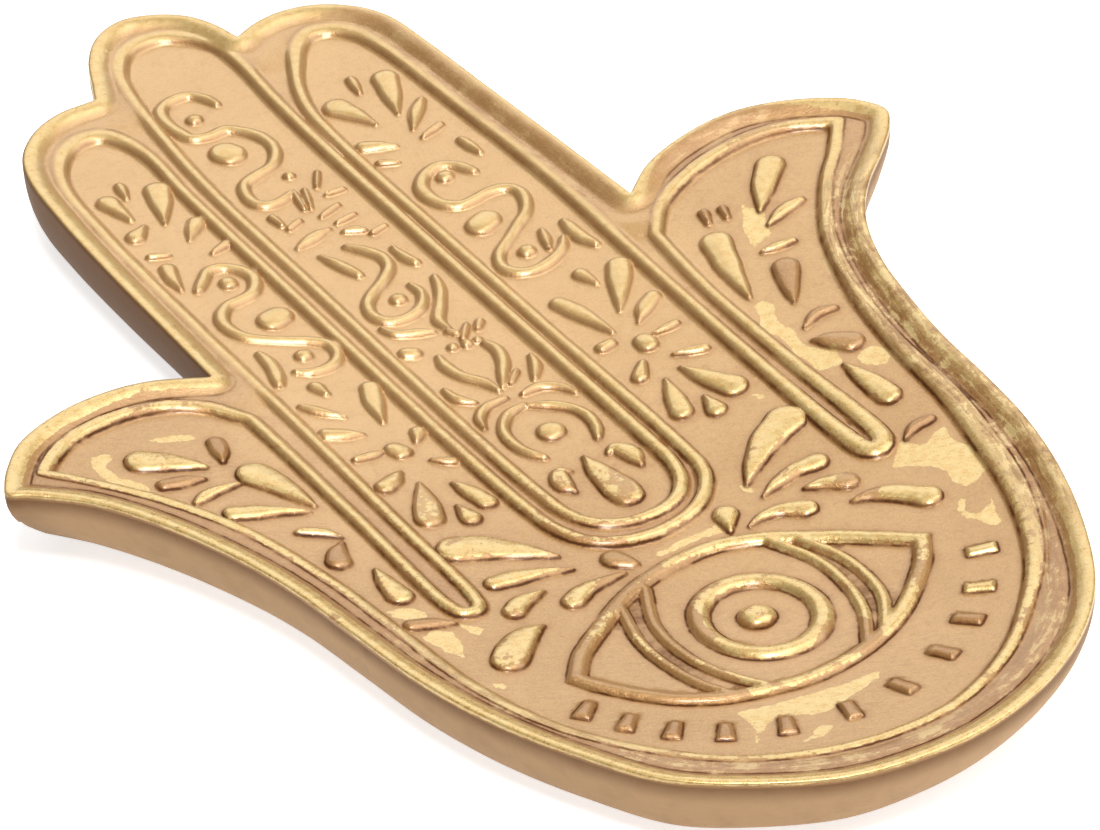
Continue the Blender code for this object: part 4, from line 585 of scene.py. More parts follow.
def relief(points):
    """Height over the dished floor, depth inside the raised forms, and weights of gilding and brown."""
    edge = EDGE.off(points)
    profile = np.array(RIM_PROFILE)
    panels = PALM.holds(points) | PANEL.holds(points)
    sink = ramp(edge, LEDGE_WIDTH, LEDGE_WIDTH + LEDGE_RUN)
    level = np.where(panels, 0.0, LEDGE_HEIGHT + (SLOT_HEIGHT - LEDGE_HEIGHT) * sink)
    on_rim = edge < profile[-1, 0]
    rim = np.where(on_rim, np.interp(edge, profile[:, 0], profile[:, 1]), 0)
    top = np.where(on_rim & ~panels, rim, level)
    over = np.where(panels, -2, RIM_FOOT - edge)
    palm = palm_share(points)
    # Painted shade on the sloping band inside the rim of the right finger: less gilt and more brown there
    painted_slope_shade = right_finger(points)
    gilt = ramp(3.2 + 0.2 * palm - 1.9 * painted_slope_shade - edge, 0, 0.8) * ~panels
    brown = np.where(over > 0, (0.3 + 0.45 * palm) * (1 - gilt), 0.25 + 0.75 * palm)
    brown = np.where(panels, 0, np.maximum(brown, painted_slope_shade * ramp(edge, 1, 2.5)))
    for track in (PALM, PANEL):
        off = track.off(points)
        half = rib_half(track, points)
        foot = half * (1 + RIB_TAIL)
        groove = GROOVE_DEPTH * np.exp(-((off - foot) / GROOVE_WIDTH) ** 2)
        groove *= np.where(panels | on_rim, 0, palm)
        base = np.minimum(top, level) - groove
        rib = base + (np.maximum(rim, RIB_HEIGHT) - base) * bell(off, half, half * RIB_TAIL)
        on_rib = off < half
        over = np.maximum(over, half - off)
        gilt = np.where(on_rib, 0.85, gilt)
        brown = np.where(on_rib, 0.25, brown)
        top = np.where(off < foot, np.maximum(top, rib), top - groove)

    in_eye = EYE.holds(points)
    off = EYE.off(points)
    depth = np.where(in_eye, off, -off)
    outline = np.minimum(depth, BAND_WIDTH - depth)
    rise = BAND_HEIGHT * swell(outline, BAND_SIDE)
    for track in LID_TRACKS:
        lid = np.where(in_eye & (depth > 0.6), LID_WIDTH / 2 - track.off(points), -9)
        outline = np.maximum(outline, lid)
        rise = np.maximum(rise, BAND_HEIGHT * swell(lid, LID_SIDE))
    radius = np.linalg.norm((points - IRIS) / IRIS_RADII, axis=1) * IRIS_RADII[0]
    ring = RING_WIDTH / 2 - np.abs(radius - IRIS_RADII[0] + RING_WIDTH / 2)
    outline = np.maximum(outline, ring)
    rise = np.maximum(rise, RING_HEIGHT * swell(ring, RING_SIDE))
    out = np.linalg.norm(points - PUPIL, axis=1)
    outline = np.maximum(outline, PUPIL_RADIUS + 0.1 - out)
    dome = np.sqrt(np.clip(1 - (out / PUPIL_RADIUS) ** 2, 0, 1))
    rise = np.maximum(rise, PUPIL_HEIGHT * dome - PUPIL_DENT * np.exp(-((out - 0.2) / 0.8) ** 2))
    gilt = np.where(panels & (outline > 0), 0.7, gilt)
    for k, (x, y, turn) in enumerate(TABLETS):
        depth = tablet_depth(points, x, y, turn)
        outline = np.maximum(outline, depth)
        if k < len(TABLETS) - GILDED_TABLETS:
            brown = np.where(depth > 0.05, 1.0, brown)
        else:
            gilt = np.where(depth > 0, 1.0, gilt)
        rise = np.maximum(rise, TABLET_HEIGHT * swell(depth, TABLET_SIDE))
    for k, line in enumerate(MOTIF_LINES):
        near = near_box(points, line, line[:, 2].max() + 2)
        depth = motif_depth(points[near], line)
        run = min(max(line[:, 2].mean() + FOOT, LEAST_SHOULDER), SHOULDER)
        full = MOTIF_HEIGHT * bell(np.maximum(run - depth, 0), run, MOTIF_TAIL)
        full += CROWN * np.clip(depth - 0.6, 0, 2)
        rise[near] = np.maximum(rise[near], full)
        outline[near] = np.maximum(outline[near], depth)
        if k < len(GILDED_MOTIFS):
            gilt[near] = np.where(depth > 0, 0.8, gilt[near])
        else:
            brown[near] = np.where(depth > 0, 0.8, brown[near])
    over = np.where(panels, np.maximum(over, outline), over)
    for x, y, reach in BARE_SPOTS:
        gilt = gilt - np.exp(-(np.linalg.norm(points - place([(x, y)])[0], axis=1) / reach) ** 4)
    x, y = points.T
    uneven = UNEVENNESS * np.sin(x * 0.9 + 2 * np.sin(y * 0.7)) * np.sin(y * 1.1)
    height = np.maximum(top, rise) + np.where(edge > 0.5, uneven, 0)
    return height, np.clip(over, -2, 2), np.clip(gilt, 0, 1), brown


def wall_inset(points):
    """Width over which the wall turns under, wider at the thumb tips and at the heel."""
    at = drawn(points)
    inset = np.full(len(points), WALL_INSET)
    for tip in THUMB_TIPS:
        away = np.linalg.norm(at - tip, axis=1)
        inset += THUMB_TURN / (1 + (away / THUMB_TURN_REACH) ** THUMB_TURN_POWER)
    away = np.linalg.norm(at - HEEL_TURN_MIDDLE, axis=1)
    return inset + HEEL_TURN * np.exp(-(away / HEEL_TURN_REACH) ** 2)


def underside(points):
    """Height of the outside: a rounded wall that runs into the flat base."""
    edge = EDGE.off(points)
    brim = dished_floor(points) + RIM_PROFILE[0][1] - EDGE_HEIGHT
    run = np.clip(edge / wall_inset(points), 0, 1)
    return brim - (brim - BASE_Z) * np.sqrt(1 - (1 - run) ** 2)


class Plan:
    """Points and rows in plan, none too close to another, joined into triangles inside the hand."""

    def __init__(self):
        self.points = []
        self.edges = []
        self.cells = {}

    def add(self, x, y, closest):
        """Number of a new point, or of the one that is already there."""
        cx, cy = math.floor(x / CELL), math.floor(y / CELL)
        reach = math.ceil(closest / CELL)
        best, found = closest * closest, None
        for i in range(cx - reach, cx + reach + 1):
            for j in range(cy - reach, cy + reach + 1):
                for k in self.cells.get((i, j), ()):
                    px, py = self.points[k]
                    gap = (px - x) ** 2 + (py - y) ** 2
                    if gap < best:
                        best, found = gap, k
        if found is None:
            found = len(self.points)
            self.cells.setdefault((cx, cy), []).append(found)
            self.points.append((x, y))
        return found

    def row(self, points, good=None, closed=False, closest=CLOSEST):
        """Points in a row, joined where they follow each other."""
        last = first = None
        for k, (x, y) in enumerate(points):
            if good is not None and not good[k]:
                last = None
                continue
            here = self.add(x, y, closest)
            if last is not None and here != last:
                self.edges.append((last, here))
            if k == 0:
                first = here
            last = here
        if closed and first is not None and last is not None and first != last:
            self.edges.append((last, first))

    def sheet(self, border_count):
        """Points and triangles inside the border, which the first points make, and where those went."""
        flat = [Vector(p) for p in self.points]
        border = list(range(border_count))
        found, _, faces, origin, _, _ = delaunay_2d_cdt(flat, self.edges, [border], 1, 1e-5)
        place_of = {old: new for new, olds in enumerate(origin) for old in olds}
        return np.array(found, float), [list(f) for f in faces], [place_of[i] for i in border]


def deeper(points, depth):
    """True for the points that lie deeper inside the edge."""
    return EDGE.holds(points) & (EDGE.off(points) > depth)


def edge_rows(plan, depths, step):
    """Rows parallel to the hand's edge."""
    for depth in depths:
        for stretch in EDGE_STRETCHES:
            even = evenly(stretch, step)
            moved = even - normals(even, False) * depth
            plan.row(moved, deeper(moved, depth - 0.03), closest=min(CLOSEST, depth * 0.6))


def lid_half(track, points):
    """Half width of a lid."""
    return np.full(len(points), LID_WIDTH / 2)


def curve_rows(plan, track, shares, step, allowed, half_width):
    """Rows on both sides of a curve where they are allowed, at shares of its half width."""
    line = evenly(track.line, step, track.closed)
    across = normals(line, track.closed)
    for share in shares:
        off = half_width(track, line) * share
        for side in ((1, -1) if share else (1,)):
            moved = line + across * off[:, None] * side
            good = (track.off(moved) > off - 0.04) & allowed(moved)
            plan.row(moved, good, track.closed)


def motif_rows(plan, line):
    """Rows along a motif's outline and on its top."""
    line = evenly(line, SMALL_STEP)
    along = np.gradient(line[:, :2], axis=0)
    length = np.maximum(np.linalg.norm(along, axis=1), 1e-9)
    along = along / length[:, None]
    across = np.stack([-along[:, 1], along[:, 0]], 1)
    lean = np.clip(np.gradient(line[:, 2]) / length, -0.95, 0.95)
    straight = np.sqrt(1 - lean ** 2)
    for depth in MOTIF_ROWS:
        wide = line[:, 2] + FOOT - depth
        sides = []
        for side in (1, -1):
            way = -lean[:, None] * along + side * straight[:, None] * across
            sides.append((line[:, :2] + way * wide[:, None])[wide > NARROWEST])
        caps = []
        for end, sense in ((-1, 1), (0, -1)):
            tilt = math.pi / 2 + sense * math.asin(lean[end])
            count = max(3, round(2 * tilt * max(wide[end], 0.1) / SMALL_STEP))
            turn = np.linspace(tilt, -tilt, count)[1:-1]
            fan = np.cos(turn)[:, None] * along[end] + np.sin(turn)[:, None] * across[end]
            caps.append(line[end, :2] + sense * wide[end] * fan if wide[end] > NARROWEST else line[:0, :2])
        ring = np.vstack([sides[0], caps[0], sides[1][::-1], caps[1]])
        if len(ring) > 4:
            good = (np.abs(motif_depth(ring, line) - depth) < 0.07) & deeper(ring, 4.0)
            plan.row(ring, good, True)
    plan.row(line[:, :2])


def ellipse(middle, radii, step=0.5):
    """Points round an ellipse."""
    count = max(8, round(2 * math.pi * max(radii) / step))
    turn = np.arange(count) * 2 * math.pi / count
    return middle + np.stack([np.cos(turn) * radii[0], np.sin(turn) * radii[1]], 1)


def tablet_rows(plan, x, y, turn):
    """Rows round a tablet."""
    middle = place([(x, y)])[0]
    c, s = math.cos(math.radians(turn)), math.sin(math.radians(turn))
    for grow in TABLET_ROWS:
        cut = 0.3 * max(0.02, 0.2 + grow)
        u, v = TABLET_LENGTH / 2 + grow - cut, TABLET_WIDTH / 2 + grow - cut
        corner = [(u, -v), (u, v), (-u, v), (-u, -v)]
        ring = []
        for (cx, cy), (nx, ny) in zip(corner, corner[1:] + corner[:1]):
            count = max(2, round(math.hypot(nx - cx, ny - cy) / SMALL_STEP))
            ring += [(cx + (nx - cx) * k / count, cy + (ny - cy) * k / count) for k in range(count)]
        ring = np.array(ring)
        ring[:, 1] *= 1 - tablet_taper(x) * ring[:, 0] / TABLET_LENGTH
        turned = np.stack([ring[:, 0] * c - ring[:, 1] * s, ring[:, 0] * s + ring[:, 1] * c], 1)
        plan.row(turned + middle, closed=True)


def lattice(plan, step, depth, closest):
    """Wide net of points where no row runs."""
    low, high = EDGE.line.min(0), EDGE.line.max(0)
    x, y = np.meshgrid(np.arange(low[0], high[0], step), np.arange(low[1], high[1], step * 0.87))
    x = x + (np.arange(len(x)) % 2)[:, None] * step / 2
    net = np.stack([x.ravel(), y.ravel()], 1)
    for px, py in net[deeper(net, depth)]:
        plan.add(px, py, closest)


def edge_plan():
    """A new plan with the hand's edge and its four notches, and the count of its points."""
    plan = Plan()
    for stretch in EDGE_STRETCHES:
        for x, y in evenly(stretch, LINE_STEP)[:-1]:
            plan.add(x, y, 0.02)
    return plan, len(plan.points)


def within_band(points):
    """True for the points inside the band of the eye."""
    return EYE.holds(points) & (EYE.off(points) > BAND_WIDTH - 0.2)


def carved_plan():
    """Plan of the top, with rows of points along every feature and a wide net between them."""
    plan, count = edge_plan()
    edge_rows(plan, [p[0] for p in RIM_PROFILE[1:]], LINE_STEP)
    for track in (PALM, PANEL):
        curve_rows(plan, track, RIB_ROWS, LINE_STEP, lambda p: deeper(p, 1.0), rib_half)
    for line in EYE_LINES:
        even = evenly(line, EYE_STEP)
        across = normals(even, False)
        for off in BAND_ROWS:
            moved = even + across * off
            plan.row(moved, EYE.off(moved) > abs(off) - 0.03)
    for track in LID_TRACKS:
        curve_rows(plan, track, LID_ROWS, EYE_STEP, within_band, lid_half)
    for depth in RING_ROWS:
        plan.row(ellipse(IRIS, np.array(IRIS_RADII) * (1 - depth / IRIS_RADII[0])), closed=True)
    for radius in PUPIL_ROWS:
        plan.row(ellipse(PUPIL, (radius, radius), 0.4), closed=True)
    for x, y, turn in TABLETS:
        tablet_rows(plan, x, y, turn)
    for line in MOTIF_LINES:
        motif_rows(plan, line)
    lattice(plan, FILL_STEP, 0.6, FILL_STEP * 0.5)
    return plan, count


def base_plan():
    """Plan of the underside, with rows round the wall and a wide net on the base."""
    plan, count = edge_plan()
    edge_rows(plan, WALL_ROWS, LINE_STEP)
    edge_rows(plan, BASE_ROWS, FILL_STEP)
    lattice(plan, BASE_STEP, 9.5, 1.4)
    return plan, count


def leaf_patches(points):
    """Depth inside the loose patches of leaf gold in millimetres, negative outside."""
    field = np.full(len(points), -LEAF_REACH)
    for patch in LEAF_PATCHES:
        loop = place(patch)
        near = near_box(points, loop, LEAF_REACH)
        off = Track(evenly(loop, 0.5, True), True).off(points[near])
        field[near] = np.maximum(field[near], np.where(inside(points[near], loop), off, -off))
    return np.clip(field, -LEAF_REACH, LEAF_REACH)


def painted_shade_side(points):
    """Weight of the painted shade on the wall of the left finger, which faces away from the light."""
    x, y = drawn(points).T
    return ramp(x, -12, -22) * ramp(y, 12, 26)


def tray_mesh():
    """Carved top, rounded wall and flat base in one closed skin, with the weights for its finish and its
    painted shade.
    """
    verts, faces, rims = [], [], []
    weights = {}
    for (plan, count), top in ((carved_plan(), True), (base_plan(), False)):
        flat, triangles, border = plan.sheet(count)
        first = len(verts)
        none = np.zeros(len(flat))
        edge = EDGE.off(flat)
        values = {"edge": edge, "along": EDGE.along(flat), "palm": palm_share(flat)}
        if top:
            height, values["over"], values["gilt"], values["brown"] = relief(flat)
            height = height + dished_floor(flat)
            values.update(leaf=leaf_patches(flat), worn=worn_side(flat, edge), drop=none)
            # The painted shade of the left finger's wall reaches over the outer edge of the rim
            values["wall"] = painted_shade_side(flat) * np.clip(1 - edge / 0.45, 0, 1)
            values["brown"] = np.maximum(values["brown"], values["wall"])
        else:
            height = underside(flat)
            brim = dished_floor(flat) + RIM_PROFILE[0][1]
            # On the underside the brown weight is the painted shade of the left finger's wall
            values.update(over=none + 2, gilt=none, brown=painted_shade_side(flat), leaf=none - LEAF_REACH, worn=none)
            values.update(wall=none + 1, drop=brim - height)
        for name, value in values.items():
            weights.setdefault(name, []).append(value)
        verts += [(x * MM, y * MM, z * MM) for (x, y), z in zip(flat, height)]
        faces += [[first + i for i in (f if top else f[::-1])] for f in triangles]
        rims.append([first + i for i in border])
    upper, lower = rims
    for k in range(len(upper)):
        n = (k + 1) % len(upper)
        faces.append([upper[k], upper[n], lower[n], lower[k]])
    mesh = bpy.data.meshes.new("tray")
    mesh.from_pydata(verts, [], faces)
    mesh.update()
    upright = np.array([normal.vector.z for normal in mesh.vertex_normals])
    weights["steep"] = [1 - np.clip(upright, 0, 1)]
    for name, value in weights.items():
        layer = mesh.attributes.new(name, "FLOAT", "POINT")
        layer.data.foreach_set("value", np.concatenate(value).astype(np.float32))
    mesh.shade_smooth()
    mesh.set_sharp_from_angle(angle=math.radians(CREASE))
    return mesh


class Surface:
    """A node material that is built step by step."""

    def __init__(self, name):
        self.material = bpy.data.materials.new(name)
        self.material.use_nodes = True
        self.tree = self.material.node_tree
        self.shader = self.tree.nodes["Principled BSDF"]
        self.where = self.node("ShaderNodeTexCoord").outputs["Object"]

    def node(self, kind, **settings):
        made = self.tree.nodes.new(kind)
        for key, value in settings.items():
            setattr(made, key, value)
        return made

    def put(self, value, socket):
        """A value or another node's output on a socket."""
        if isinstance(value, bpy.types.NodeSocket):
            self.tree.links.new(value, socket)
        else:
            socket.default_value = value

    def weight(self, name):
        return self.node("ShaderNodeAttribute", attribute_name=name).outputs["Fac"]

    def noise(self, scale, detail=3.0, rough=0.55, twist=0.0, where=None):
        made = self.node("ShaderNodeTexNoise")
        self.put(where or self.where, made.inputs["Vector"])
        made.inputs["Scale"].default_value = scale
        made.inputs["Detail"].default_value = detail
        made.inputs["Roughness"].default_value = rough
        made.inputs["Distortion"].default_value = twist
        return made.outputs["Fac"]

    def math(self, action, a, b=0.0, clamp=False):
        made = self.node("ShaderNodeMath", operation=action, use_clamp=clamp)
        self.put(a, made.inputs[0])
        self.put(b, made.inputs[1])
        return made.outputs[0]

    def times(self, a, b, clamp=False):
        return self.math("MULTIPLY", a, b, clamp)

    def plus(self, a, b):
        return self.math("ADD", a, b)

    def minus(self, a, b):
        return self.math("SUBTRACT", a, b)

    def rest(self, share):
        """What a share leaves over."""
        return self.minus(1.0, share)

    def step(self, value, low, high, out_low=0.0, out_high=1.0):
        """Smooth step from low to high."""
        made = self.node("ShaderNodeMapRange", interpolation_type="SMOOTHSTEP")
        self.put(value, made.inputs["Value"])
        ends = {"From Min": low, "From Max": high, "To Min": out_low, "To Max": out_high}
        for name, number in ends.items():
            made.inputs[name].default_value = number
        return made.outputs["Result"]

    def mix(self, share, a, b, kind="RGBA"):
        """Blend of two colours, each a socket or a hex code."""
        made = self.node("ShaderNodeMix", data_type=kind)
        for name, value in (("Factor", share), ("A", a), ("B", b)):
            self.put(paint(value) if isinstance(value, str) else value, made.inputs[name])
        return made.outputs["Result"]

    def blend(self, share, a, b):
        """Blend of two numbers."""
        return self.mix(share, a, b, "FLOAT")

    def bump(self, height, distance, strength=1.0, under=None):
        made = self.node("ShaderNodeBump")
        self.put(height, made.inputs["Height"])
        made.inputs["Distance"].default_value = distance
        made.inputs["Strength"].default_value = strength
        if under is not None:
            self.put(under, made.inputs["Normal"])
        return made.outputs["Normal"]


def paint(code):
    """Linear colour of a six-digit screen colour."""
    parts = [int(code[k:k + 2], 16) / 255 for k in (0, 2, 4)]
    return (*[p / 12.92 if p < 0.04045 else ((p + 0.055) / 1.055) ** 2.4 for p in parts], 1.0)


def gold_material():
    """Satin bronze paint with worn leaf gold on the high places, brown wash in the low ones, and painted
    shade on the slopes, round the feet of the relief and on the outside wall.
    """
    s = Surface("antique_gold")
    over, gilt, brown, leaf, palm = (s.weight(name) for name in ("over", "gilt", "brown", "leaf", "palm"))
    wall, worn, drop = (s.weight(name) for name in ("wall", "worn", "drop"))
    top = s.rest(wall)
    steep = s.times(s.weight("steep"), s.step(s.weight("edge"), 0.8, 2.2))
    run = s.node("ShaderNodeCombineXYZ")
    s.put(s.weight("edge"), run.inputs[0])
    s.put(s.times(s.weight("along"), 0.14), run.inputs[1])
    brushed = s.noise(0.9, 6, 0.68, 0.5, run.outputs[0])
    swept = s.node("ShaderNodeMapping", vector_type="TEXTURE")
    s.put(s.where, swept.inputs["Vector"])
    swept.inputs["Rotation"].default_value = (0, 0, -0.56)
    swept.inputs["Scale"].default_value = (4, 1, 1)
    fibres = s.noise(1500, 4, 0.6, 0.2, swept.outputs["Vector"])
    cloud = s.noise(42, 3, 0.5)
    patchy = s.noise(190, 5, 0.55, 0.5)
    crumbs = s.noise(700, 5, 0.65)
    grain = s.noise(2600, 2, 0.5)
    torn = s.minus(patchy, 0.5)
    crumbled = s.minus(crumbs, 0.5)

    # Bronze paint, cloudy and finely grained, lighter on the fingers and browner on the ledge
    colour = s.mix(s.step(cloud, 0.35, 0.65), "C89A5D", "D2A469")
    colour = s.mix(s.minus(0.7, s.times(palm, 0.7)), colour, "E4B97E")
    speckle = s.times(s.step(crumbs, 0.48, 0.7, 0, 0.5), s.step(palm, 0, 1, 0.5, 1))
    colour = s.mix(speckle, colour, "BD8D57")
    colour = s.mix(s.times(s.step(fibres, 0.5, 0.72, 0, 0.3), palm), colour, "B98A55")
    colour = s.mix(s.times(brown, s.step(patchy, 0.3, 0.7, 0.4, 0.75)), colour, "B58350")
    colour = s.mix(s.step(grain, 0.35, 0.65, 0, 0.2), colour, "EFCB96")
    # Brown wash and painted shade, a soft dark ring on the floor round the foot of the relief
    foot_wash_and_shade = s.times(s.step(over, -1.9, -0.2), s.step(palm, 0, 1, 0.1, 0.34))
    colour = s.mix(s.times(foot_wash_and_shade, s.step(patchy, 0.35, 0.6, 0.4, 1.0)), colour, "AF7A40")

    # Outside wall, with painted shade right under the rim and on the wall of the left finger
    outside = s.mix(s.step(patchy, 0.4, 0.7, 0, 0.5), "BE9B74", "AC8B66")
    outside = s.mix(s.times(brown, 0.95), outside, "5F3A19")
    # Painted shade under the overhang of the rim, fading downwards
    under = s.step(s.plus(drop, s.times(torn, 2.0)), 0.0, 4.5, 1.0, 0.0)
    outside = s.mix(s.times(under, 0.85), outside, "6A4018")
    colour = s.mix(wall, colour, outside)

    # Leaf gold on the crests and in loose patches with torn edges
    crest = s.plus(s.math("MINIMUM", over, 0.9), s.times(torn, 2.8))
    crest = s.plus(crest, s.times(s.minus(cloud, 0.5), 4.5))
    crest = s.plus(crest, s.times(s.minus(gilt, 0.75), 3.0))
    crest = s.plus(crest, s.times(crumbled, 2.6))
    crest = s.times(s.step(crest, 0.5, 0.65), s.step(gilt, 0.02, 0.08))
    smooth = s.times(s.step(over, 0.2, 1.1), s.times(gilt, 0.85))
    crest = s.blend(palm, smooth, crest)
    crest = s.times(crest, s.rest(s.times(worn, 0.5)))
    loose = s.plus(leaf, s.times(torn, 1.8))
    loose = s.step(s.plus(loose, s.times(crumbled, 1.1)), -0.04, 0.06)
    gold = s.times(s.math("MAXIMUM", crest, loose), top, True)
    shine = s.mix(s.step(crumbs, 0.35, 0.65), "E8C178", "F3D692")
    colour = s.mix(gold, colour, shine)

    # Brown and gold patches and streaks along the worn side
    streak = s.plus(brushed, s.times(crumbled, 0.45))
    streak = s.plus(streak, s.times(torn, 0.5))
    colour = s.mix(s.times(worn, 0.25), colour, "B98A55")
    scuffed = s.times(worn, s.step(streak, 0.52, 0.6))
    colour = s.mix(s.times(scuffed, 0.6), colour, "96652C")
    bright = s.times(worn, s.step(streak, 0.45, 0.42))
    colour = s.mix(s.times(bright, 0.85), colour, "F6DA98")
    gold = s.times(gold, s.rest(scuffed))

    # Painted shade on the steep slopes of the relief, brown wash mixed with painted shade soft round its
    # feet, and dark brown wash along its feet and in pits
    painted_slope_shade = s.times(s.step(steep, 0.08, 0.42), s.step(patchy, 0.3, 0.65, 0.28, 0.48))
    colour = s.mix(s.times(painted_slope_shade, top), colour, "8E4A10")
    # Brown wash mixed with painted shade, soft round the feet of the relief
    soft = s.times(s.step(over, -0.9, -0.05), s.step(over, 0.4, 0.0))
    soft = s.times(soft, s.step(patchy, 0.3, 0.65, 0.3, 0.6))
    soft = s.times(soft, s.step(palm, 0, 1, 0.1, 1))
    colour = s.mix(soft, colour, "A56D30")
    line = s.math("ABSOLUTE", s.plus(s.plus(over, 0.04), s.times(crumbled, 0.4)))
    faint = s.step(s.math("ABSOLUTE", s.minus(s.weight("edge"), RIM_FOOT)), 0.4, 0.8, 0.04, 0.08)
    wash = s.times(s.step(line, 0.34, 0.05), s.step(patchy, 0.35, 0.6, 0.2, 0.95))
    wash = s.times(wash, s.math("MAXIMUM", faint, palm))
    colour = s.mix(wash, colour, "5A2E08")
    pits = s.times(s.step(s.noise(1500, 4, 0.7), 0.62, 0.68), s.step(gilt, 0.0, 1.0, 0.1, 0.8))
    pits = s.times(pits, s.step(palm, 0.0, 1.0, 0.15, 0.8))
    colour = s.mix(pits, colour, "7A4E22")
    s.put(colour, s.shader.inputs["Base Color"])

    dull = s.blend(wall, s.step(patchy, 0.3, 0.7, 0.33, 0.42), 0.6)
    rough = s.blend(gold, dull, s.step(crumbs, 0.3, 0.7, 0.25, 0.33))
    s.put(s.blend(wash, rough, 0.7), s.shader.inputs["Roughness"])
    s.put(s.blend(wall, s.blend(gold, 0.42, 0.5), 0.4), s.shader.inputs["Metallic"])
    glossy = s.times(top, s.rest(wash), True)
    s.put(glossy, s.shader.inputs["Coat Weight"])
    s.shader.inputs["Coat Roughness"].default_value = 0.2
    s.shader.inputs["Specular Tint"].default_value = (1, 0.93, 0.8, 1)
    lumps = s.bump(s.noise(330, 3, 0.5), 0.00008, 0.6)
    edges = s.bump(gold, 0.00005, 0.9, lumps)
    texture = s.plus(s.times(grain, 0.5), s.times(s.plus(crumbs, fibres), palm))
    texture = s.times(texture, s.rest(s.times(gold, 0.5)))
    fine = s.bump(texture, 0.00018, 0.7, edges)
    s.put(fine, s.shader.inputs["Normal"])
    return s.material


def felt_material():
    """Dark pressed felt with matted fibres."""
    s = Surface("felt")
    fibre = s.noise(1800, 5, 0.75, 1.6)
    tuft = s.noise(420, 3, 0.6)
    colour = s.mix(s.step(fibre, 0.35, 0.7), "2C231B", "5A4A3A")
    colour = s.mix(s.step(tuft, 0.4, 0.7, 0, 0.4), colour, "3B2F25")
    s.put(colour, s.shader.inputs["Base Color"])
    s.put(s.step(fibre, 0.3, 0.7, 0.86, 1.0), s.shader.inputs["Roughness"])
    s.shader.inputs["Sheen Weight"].default_value = 0.35
    s.shader.inputs["Sheen Roughness"].default_value = 0.6
    s.put(s.bump(s.plus(fibre, s.times(tuft, 0.7)), 0.0002, 0.9), s.shader.inputs["Normal"])
    return s.material


def pad_mesh(name, low, high):
    """Felt disc with rounded, slightly uneven edges in the room of its solid."""
    centre = (low + high) / 2
    radius, height = (high.x - low.x) / 2, high.z - low.z
    count = PAD_SIDES
    verts, faces = [], []
    for r, z in PAD_PROFILE:
        for k in range(count):
            turn = 2 * math.pi * k / count
            uneven = 1 - 0.012 * r * (1 + math.sin(7 * turn + 9 * z) * math.sin(3 * turn + centre.x * 90)) / 2
            verts.append((centre.x + math.cos(turn) * radius * r * uneven,
                          centre.y + math.sin(turn) * radius * r * uneven, low.z + height * z))
    for j in range(len(PAD_PROFILE) - 1):
        for k in range(count):
            n = (k + 1) % count
            faces.append([j * count + k, j * count + n, (j + 1) * count + n, (j + 1) * count + k])
    faces.append(list(range(count))[::-1])
    faces.append(list(range(len(verts) - count, len(verts))))
    mesh = bpy.data.meshes.new(name)
    mesh.from_pydata(verts, [], faces)
    mesh.update()
    mesh.shade_smooth()
    mesh.set_sharp_from_angle(angle=math.radians(PAD_CREASE))
    return mesh


def add_object(name, data):
    """A new object in the scene."""
    made = bpy.data.objects.new(name, data)
    bpy.context.scene.collection.objects.link(made)
    return made


def piece(name, mesh, surface, node):
    """A piece that stands for a solid of the frame."""
    made = add_object(name, mesh)
    made.data.materials.append(surface)
    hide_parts(node)
    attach(made, "root")


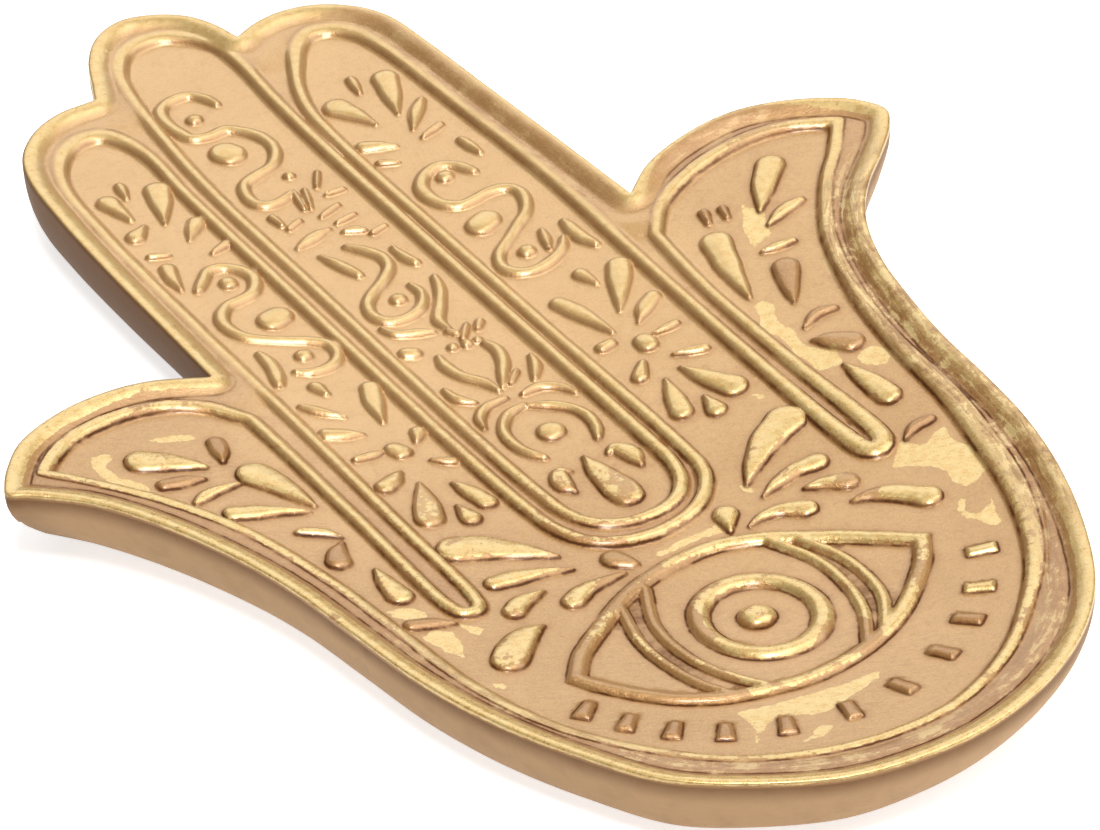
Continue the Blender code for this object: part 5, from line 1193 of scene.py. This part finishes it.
def make_camera():
    """Long lens from the heel's left, turned a little about its axis."""
    azimuth, rise, roll = map(math.radians, (CAMERA_AZIMUTH, CAMERA_RISE, CAMERA_ROLL))
    back = Vector((math.sin(azimuth) * math.cos(rise), -math.cos(azimuth) * math.cos(rise), math.sin(rise)))
    right = (-back).cross(Vector((0, 0, 1))).normalized()
    down = (-back).cross(right)
    turned = math.cos(roll) * right + math.sin(roll) * down
    fall = -math.sin(roll) * right + math.cos(roll) * down
    data = bpy.data.cameras.new("camera")
    data.sensor_fit = "HORIZONTAL"
    data.sensor_width = 36
    data.lens = CAMERA_LENS
    data.clip_start = 0.05
    data.clip_end = 50
    made = add_object("camera", data)
    target = Vector((*(place([CAMERA_AIM])[0] * MM), FLOOR_Z * MM))
    turn = Matrix((turned, -fall, back)).transposed().to_4x4()
    made.matrix_world = Matrix.Translation(target + back * CAMERA_DISTANCE) @ turn
    bpy.context.scene.camera = made


def area_lamp(name, spot, width, height, power):
    """Soft box that shines from a spot towards the dish."""
    data = bpy.data.lights.new(name, "AREA")
    data.shape = "RECTANGLE"
    data.size = width
    data.size_y = height
    data.energy = power
    made = add_object(name, data)
    made.location = spot
    made.rotation_euler = (Vector((0, 0, 0)) - Vector(spot)).to_track_quat("-Z", "Y").to_euler()


def make_studio():
    """White floor, dim warm surroundings and soft boxes."""
    mesh = bpy.data.meshes.new("floor")
    mesh.from_pydata([(-4, -4, 0), (4, -4, 0), (4, 4, 0), (-4, 4, 0)], [], [[0, 1, 2, 3]])
    floor = add_object("floor", mesh)
    s = Surface("floor")
    s.shader.inputs["Base Color"].default_value = (0.93, 0.93, 0.93, 1)
    s.shader.inputs["Roughness"].default_value = 0.9
    s.shader.inputs["Specular IOR Level"].default_value = 0.1
    ray = s.node("ShaderNodeLightPath")
    seen = s.math("MAXIMUM", ray.outputs["Is Camera Ray"], ray.outputs["Is Glossy Ray"])
    s.shader.inputs["Emission Color"].default_value = (1, 1, 1, 1)
    s.put(s.times(seen, FLOOR_GLOW), s.shader.inputs["Emission Strength"])
    floor.data.materials.append(s.material)

    world = bpy.data.worlds.new("studio")
    bpy.context.scene.world = world
    world.use_nodes = True
    light = world.node_tree.nodes["Background"]
    light.inputs["Color"].default_value = WORLD_COLOUR
    light.inputs["Strength"].default_value = WORLD_STRENGTH
    for name, lamp in LAMPS.items():
        area_lamp(name, *lamp)
    bpy.context.scene.view_settings.view_transform = "Standard"


make_camera()
make_studio()
piece("tray", tray_mesh(), gold_material(), "tray_casting")
felt = felt_material()
for node in sorted(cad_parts):
    if node.startswith("pad_"):
        piece("felt_" + node, pad_mesh(node + "_felt", *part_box(node)), felt, node)
